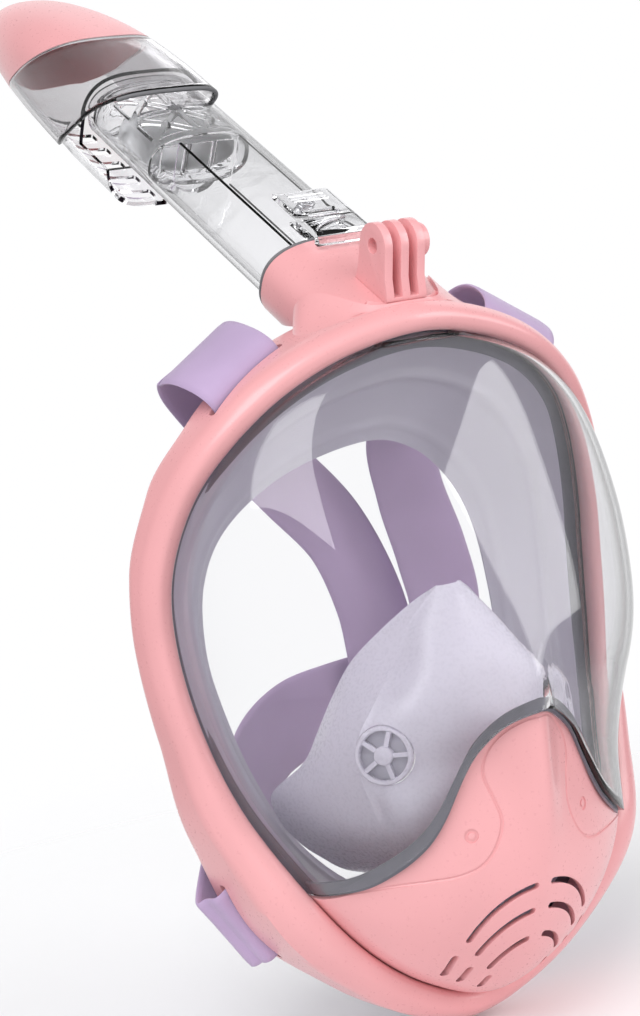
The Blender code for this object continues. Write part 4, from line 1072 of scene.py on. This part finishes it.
def make_float():
    half_x, half_v = TUBE_X - TUBE_WALL - 0.5, TUBE_V - TUBE_WALL - 0.5
    cage = piece("float_cage_clear", loft(rings([CAGE_LOW, CAGE_HIGH], lambda s: oval(96, half_x, half_v))),
                 part_look, "snorkel", ("float_cage",))
    room = rings([CAGE_LOW + 1.4, CAGE_HIGH + 1], lambda s: oval(96, half_x - 1.4, half_v - 1.4))
    boolean(cage, loft(room))
    foot_hole = rounded([(CAGE_LOW - 1, -6), (CAGE_LOW + 3, -6), (CAGE_LOW + 3, 6), (CAGE_LOW - 1, 6)], 0.8)
    for x0, x1 in ((-16, -6), (-4.5, 4.5), (6, 16)):
        boolean(cage, block(x0, x1, foot_hole))
    windows = []
    for low, high in ((CAGE_LOW + 4, 212), (214, CAGE_HIGH - 3)):
        for x0, x1 in ((-17, -1), (1, 17)):
            xm, sm, bar = (x0 + x1) / 2, (low + high) / 2, 1.6
            for tri in (((x0 + bar, low), (x1 - bar, low), (xm, sm - bar)),
                        ((x1 - bar, high), (x0 + bar, high), (xm, sm + bar)),
                        ((x0, high - bar), (x0, low + bar), (xm - bar, sm)),
                        ((x1, low + bar), (x1, high - bar), (xm + bar, sm))):
                windows.append(prism(rounded(tri, 0.9), lambda x, s, v: along(s, x, v), -14, 14))
    boolean(cage, join(windows))
    bevel(cage, 0.25, 2, 40)

    seat = piece("float_seat_clear", loft(rings([CAGE_HIGH + 0.35, CAGE_HIGH + 2.35],
                                                lambda s: oval(96, half_x, half_v))), part_look, "snorkel",
                 ("float_seat",))
    boolean(seat, loft(rings([CAGE_HIGH - 1, CAGE_HIGH + 5], lambda s: oval(72, 11, 3.6))))
    bevel(seat, 0.3, 2, 40)

    trim = {FLOAT_LOW: 2.6, FLOAT_LOW + 0.6: 1.2, FLOAT_LOW + 2: 0.2, FLOAT_LOW + 4: 0,
            FLOAT_HIGH - 4: 0, FLOAT_HIGH - 2: 0.2, FLOAT_HIGH - 0.6: 1.2, FLOAT_HIGH: 2.6}
    piece("float_body", loft(rings(list(trim), lambda s: oval(72, 17.5 - trim[s], 7.2 - trim[s]))),
          float_look, "float", ("float",))
    pad = rings([FLOAT_HIGH + 0.35, FLOAT_HIGH + 2.6], lambda s: oval(72, 13.5, 4.8))
    seal = piece("float_seal_soft", loft(pad), dark_look, "float", ("float_seal",))
    bevel(seal, 0.4, 2, 40)


# ---------------------------------------------------------------- camera mount

def make_mount():
    up = Vector((0, -sin(MOUNT_LEAN), cos(MOUNT_LEAN)))
    back = Vector((0, cos(MOUNT_LEAN), sin(MOUNT_LEAN)))
    prong, gap, radius = 3.0, 3.2, 7.5
    width = 3 * prong + 2 * gap
    outline = [(radius * cos(radians(a)), radius * sin(radians(a))) for a in range(0, 181, 5)]
    outline += [(-radius - 0.5, -9), (-radius - 2, -14), (-radius - 3.5, -26),
                (radius + 3.5, -26), (radius + 2, -14), (radius + 0.5, -9)]

    def slab(corners, x0, x1):
        return loft([[MOUNT_EYE + back * a + up * b + Vector((x, 0, 0)) for a, b in corners]
                     for x in (x0, x1)])

    mount = piece("camera_mount_shell", slab(outline, -width / 2, width / 2), pink, "mask",
                  ("camera_mount",))
    corners = rounded([(-14, -15.2), (14, -15.2), (14, 12), (-14, 12)], 0.8)
    for x in (-(prong + gap) / 2, (prong + gap) / 2):
        boolean(mount, slab(corners, x - gap / 2, x + gap / 2))
    boolean(mount, rod(MOUNT_EYE, (1, 0, 0), 2.6, -12, 12, 48))
    low, high = 60, RIM_HALF[0][2] + ease(BEZEL_WIDTH, 0) + 0.4
    corners = [(-20, -90), (20, -90), (20, 0), (-20, 0)]
    boolean(mount, prism(corners, lambda x, y, z: Vector((x, y, z)), low, high))
    boolean(mount, socket_solid(0.1))
    bevel(mount, 0.6, 3, 40)
    ring = [(2.6, 0), (5.4, 0), (5.6, 0.25), (5.6, 2.4), (5.4, 2.9), (4.8, 3.2), (3.0, 3.2), (2.6, 2.8)]
    nut_place = MOUNT_EYE + Vector((width / 2 + 0.35, 0, 0))
    piece("mount_nut_fine", turned(nut_place, (1, 0, 0), ring, 48), pink, "mask", ("mount_nut",))


# ---------------------------------------------------------------- straps

def strap_ends(t, slot_y, upper):
    p, out = rim(t)
    run = Vector((-out.z, 0, out.x)) * (1 if t > 0 else -1)
    width = ease(BEZEL_WIDTH, side_of(t)) + 0.4
    if upper:
        route = [(4.6, slot_y), (width + 1, slot_y), (width + 6, slot_y + 5), (width + 9.5, slot_y + 15),
                 (width + 8.5, slot_y + 24), (width + 3, slot_y + 29)]
    else:
        route = [(width - 7, slot_y), (width + 0.6, slot_y), (width + 2.6, slot_y + 4),
                 (width + 2.4, slot_y + 12)]
    return [(Vector((p.x, 0, p.z)) + out * n + Vector((0, d, 0)), run) for n, d in route]


def align(stations):
    """Turns each width direction to agree with the one before it."""
    fixed = [stations[0]]
    for centre, across in stations[1:]:
        across = Vector(across)
        fixed.append((centre, across if across.dot(fixed[-1][1]) >= 0 else -across))
    return fixed


def make_strap(name, stations, node):
    """Flat elastic band through stations of (centre, width direction), with round edges and its own UVs."""
    stations = align(stations)
    centres = [Vector(c) for c, w in stations]
    widths = [Vector(w).normalized() for c, w in stations]
    steps = 14 * (len(stations) - 1)
    half, thick = STRAP_WIDTH / 2, STRAP_THICK / 2
    section = []
    for side in (1, -1):
        for k in range(-8, 9):
            section.append((side * half * 0.975 * -k / 8, side * thick * (1 if abs(k) < 8 else 0.75)))
        section.append((-side * half, 0))
    rows, run = [], [0.0]
    for k in range(steps + 1):
        t = k / steps
        centre = open_curve(centres, t)
        forward = open_curve(centres, min(1, t + 0.01)) - open_curve(centres, max(0, t - 0.01))
        across = open_curve(widths, t)
        across = (across - forward * across.dot(forward) / forward.length_squared).normalized()
        flat = forward.cross(across).normalized()
        rows.append([centre + across * a + flat * b for a, b in section])
        if k:
            run.append(run[-1] + (centre - last).length)
        last = centre
    strap = piece(name, loft(rows), strap_look, "mask", (node,), 60)
    count = len(section)
    uv = strap.data.uv_layers.new(name="UVMap")
    for loop in strap.data.loops:
        r, c = divmod(loop.vertex_index, count)
        uv.data[loop.index].uv = (section[c][0] / 10, run[min(r, steps)] / 10)


def make_straps():
    right = strap_ends(-UPPER_SLOT_T, UPPER_SLOT_Y, True)
    right += [((-40, 4, 90), (0.85, 0.1, 0.5)), ((-24, 20, 76), (0.75, 0.2, 0.6)),
              ((-4, 34, 59), (0.7, 0.2, 0.65)), ((18, 41, 36), (0.85, 0.2, 0.5)),
              ((29, 42, 10), (0.98, 0.1, 0.2)), ((32, 41, -14), (0.98, 0, 0.1)),
              ((33, 40, -40), (1, 0, 0))]
    make_strap("strap_upper_right_elastic", right, "strap_upper_right")
    left = strap_ends(UPPER_SLOT_T, UPPER_SLOT_Y, True)
    left += [((46, 6, 88), (0.9, 0.1, -0.4)), ((43, 27, 68), (0.95, 0.2, -0.2)),
             ((48, 34, 46), (0.97, 0.1, 0.1)), ((54, 34, 22), (0.97, 0, 0.15)),
             ((56, 33, 0), (0.98, 0, 0.05)), ((47, 35, -20), (0.98, 0, 0.1)),
             ((41, 37, -38), (0.98, 0, 0.1))]
    make_strap("strap_upper_left_elastic", left, "strap_upper_left")
    lower = strap_ends(-LOWER_SLOT_T, LOWER_SLOT_Y, False)
    lower += [((-50, 14, -54), (-0.5, 0, 0.85)), ((-32, 32, -38), (-0.3, 0, 0.95)),
              ((-12, 42, -30), (-0.1, 0, 1)), ((10, 46, -28), (0, 0, 1)),
              ((32, 48, -28), (0, 0, 1)), ((54, 45, -30), (0.1, 0, 1)),
              ((69, 29, -42), (0.4, 0, 0.9)), ((73, 6, -57), (0.6, 0, 0.8))]
    lower += list(reversed(strap_ends(LOWER_SLOT_T, LOWER_SLOT_Y, False)))
    make_strap("strap_lower_elastic", lower, "strap_lower")


make_frame()
make_lens()
make_chin_cover()
make_chin_shade_strip()
make_clamp_ring()
make_face_skirt()
make_nose_pocket()
make_valves()
make_socket()
make_riser()
make_gasket()
make_tube()
make_latch()
make_head()
make_float()
make_mount()
make_straps()

# CAD nodes that are right as they are, and hardly seen: only their finish is set.
for node in ("exhale_flap_left", "exhale_flap_right"):
    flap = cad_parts[node]
    flap.data.materials.clear()
    flap.data.materials.append(dark_look)


# ---------------------------------------------------------------- floor, light and sky

FLOOR_RADIUS, FLOOR_Z = 1.6, -0.1262


def make_floor():
    """Pale floor that fades into the white of the sky away from the object."""
    turns = [2 * pi * k / 96 for k in range(96)]
    mesh = bpy.data.meshes.new("floor")
    mesh.from_pydata([(FLOOR_RADIUS * cos(a), FLOOR_RADIUS * sin(a), FLOOR_Z) for a in turns], [],
                     [tuple(range(96))])
    floor = bpy.data.objects.new("floor", mesh)
    bpy.context.scene.collection.objects.link(floor)
    mat, tree, shader = new_material("floor")
    put(shader, {"Base Color": (0.93, 0.93, 0.94, 1), "Roughness": 0.9, "Specular IOR Level": 0.1})
    coords = tree.nodes.new("ShaderNodeTexCoord")
    length = tree.nodes.new("ShaderNodeVectorMath")
    length.operation = "LENGTH"
    fade = tree.nodes.new("ShaderNodeMapRange")
    fade.interpolation_type = "SMOOTHSTEP"
    put(fade, {"From Min": 0.08, "From Max": 0.5})
    through = tree.nodes.new("ShaderNodeBsdfTransparent")
    mix = tree.nodes.new("ShaderNodeMixShader")
    tree.links.new(coords.outputs["Object"], length.inputs[0])
    tree.links.new(length.outputs["Value"], fade.inputs["Value"])
    tree.links.new(fade.outputs["Result"], mix.inputs["Fac"])
    tree.links.new(shader.outputs["BSDF"], mix.inputs[1])
    tree.links.new(through.outputs["BSDF"], mix.inputs[2])
    tree.links.new(mix.outputs["Shader"], tree.nodes["Material Output"].inputs["Surface"])
    mesh.materials.append(mat)


def area_light(name, place, target, size, power, seen=True):
    data = bpy.data.lights.new(name, "AREA")
    data.shape, data.size, data.energy = "SQUARE", size, power
    light = bpy.data.objects.new(name, data)
    bpy.context.scene.collection.objects.link(light)
    light.location = place
    light.visible_glossy = seen
    light.rotation_euler = (Vector(place) - Vector(target)).to_track_quat("Z", "Y").to_euler()


def make_sky():
    """Pale where it is looked at, greyer at the sides in reflections, so that clear parts' edges read."""
    world = bpy.data.worlds.new("studio")
    world.use_nodes = True
    bpy.context.scene.world = world
    tree = world.node_tree
    coords = tree.nodes.new("ShaderNodeTexCoord")
    dot = tree.nodes.new("ShaderNodeVectorMath")
    dot.operation = "DOT_PRODUCT"
    dot.inputs[1].default_value = (0.5003, 0.8575, -0.05)
    ramp = tree.nodes.new("ShaderNodeValToRGB")
    remap = tree.nodes.new("ShaderNodeMapRange")
    put(remap, {"From Min": -1})
    tree.links.new(coords.outputs["Generated"], dot.inputs[0])
    tree.links.new(dot.outputs["Value"], remap.inputs["Value"])
    tree.links.new(remap.outputs["Result"], ramp.inputs["Fac"])
    stops = [(0.0, 0.80), (0.3, 0.62), (0.5, 0.34), (0.62, 0.14), (0.78, 0.16), (0.85, 0.88), (0.92, 1.04)]
    while len(ramp.color_ramp.elements) < len(stops):
        ramp.color_ramp.elements.new(0.5)
    for element, (place, value) in zip(ramp.color_ramp.elements, stops):
        element.position, element.color = place, (value, value, value * 1.01, 1)
    ray = tree.nodes.new("ShaderNodeLightPath")
    straight = tree.nodes.new("ShaderNodeMath")
    straight.operation = "MAXIMUM"
    tree.links.new(ray.outputs["Is Camera Ray"], straight.inputs[0])
    tree.links.new(ray.outputs["Is Transmission Ray"], straight.inputs[1])
    blend = tree.nodes.new("ShaderNodeMix")
    blend.data_type = "RGBA"
    tree.links.new(straight.outputs[0], blend.inputs[0])
    tree.links.new(ramp.outputs["Color"], blend.inputs[6])
    blend.inputs[7].default_value = (1.0, 1.0, 1.01, 1)
    background = tree.nodes["Background"]
    tree.links.new(blend.outputs[2], background.inputs["Color"])
    put(background, {"Strength": 1.0})


make_floor()
make_sky()
area_light("key", (-1.2, -0.9, 1.5), (0, 0, 0), 1.6, 30)
area_light("fill", (1.3, -1.2, 0.6), (0, 0, 0), 1.2, 15)
area_light("rim", (0.6, 1.4, 1.0), (0, 0, 0.05), 1.0, 6, False)
bpy.context.scene.view_settings.view_transform = "Standard"
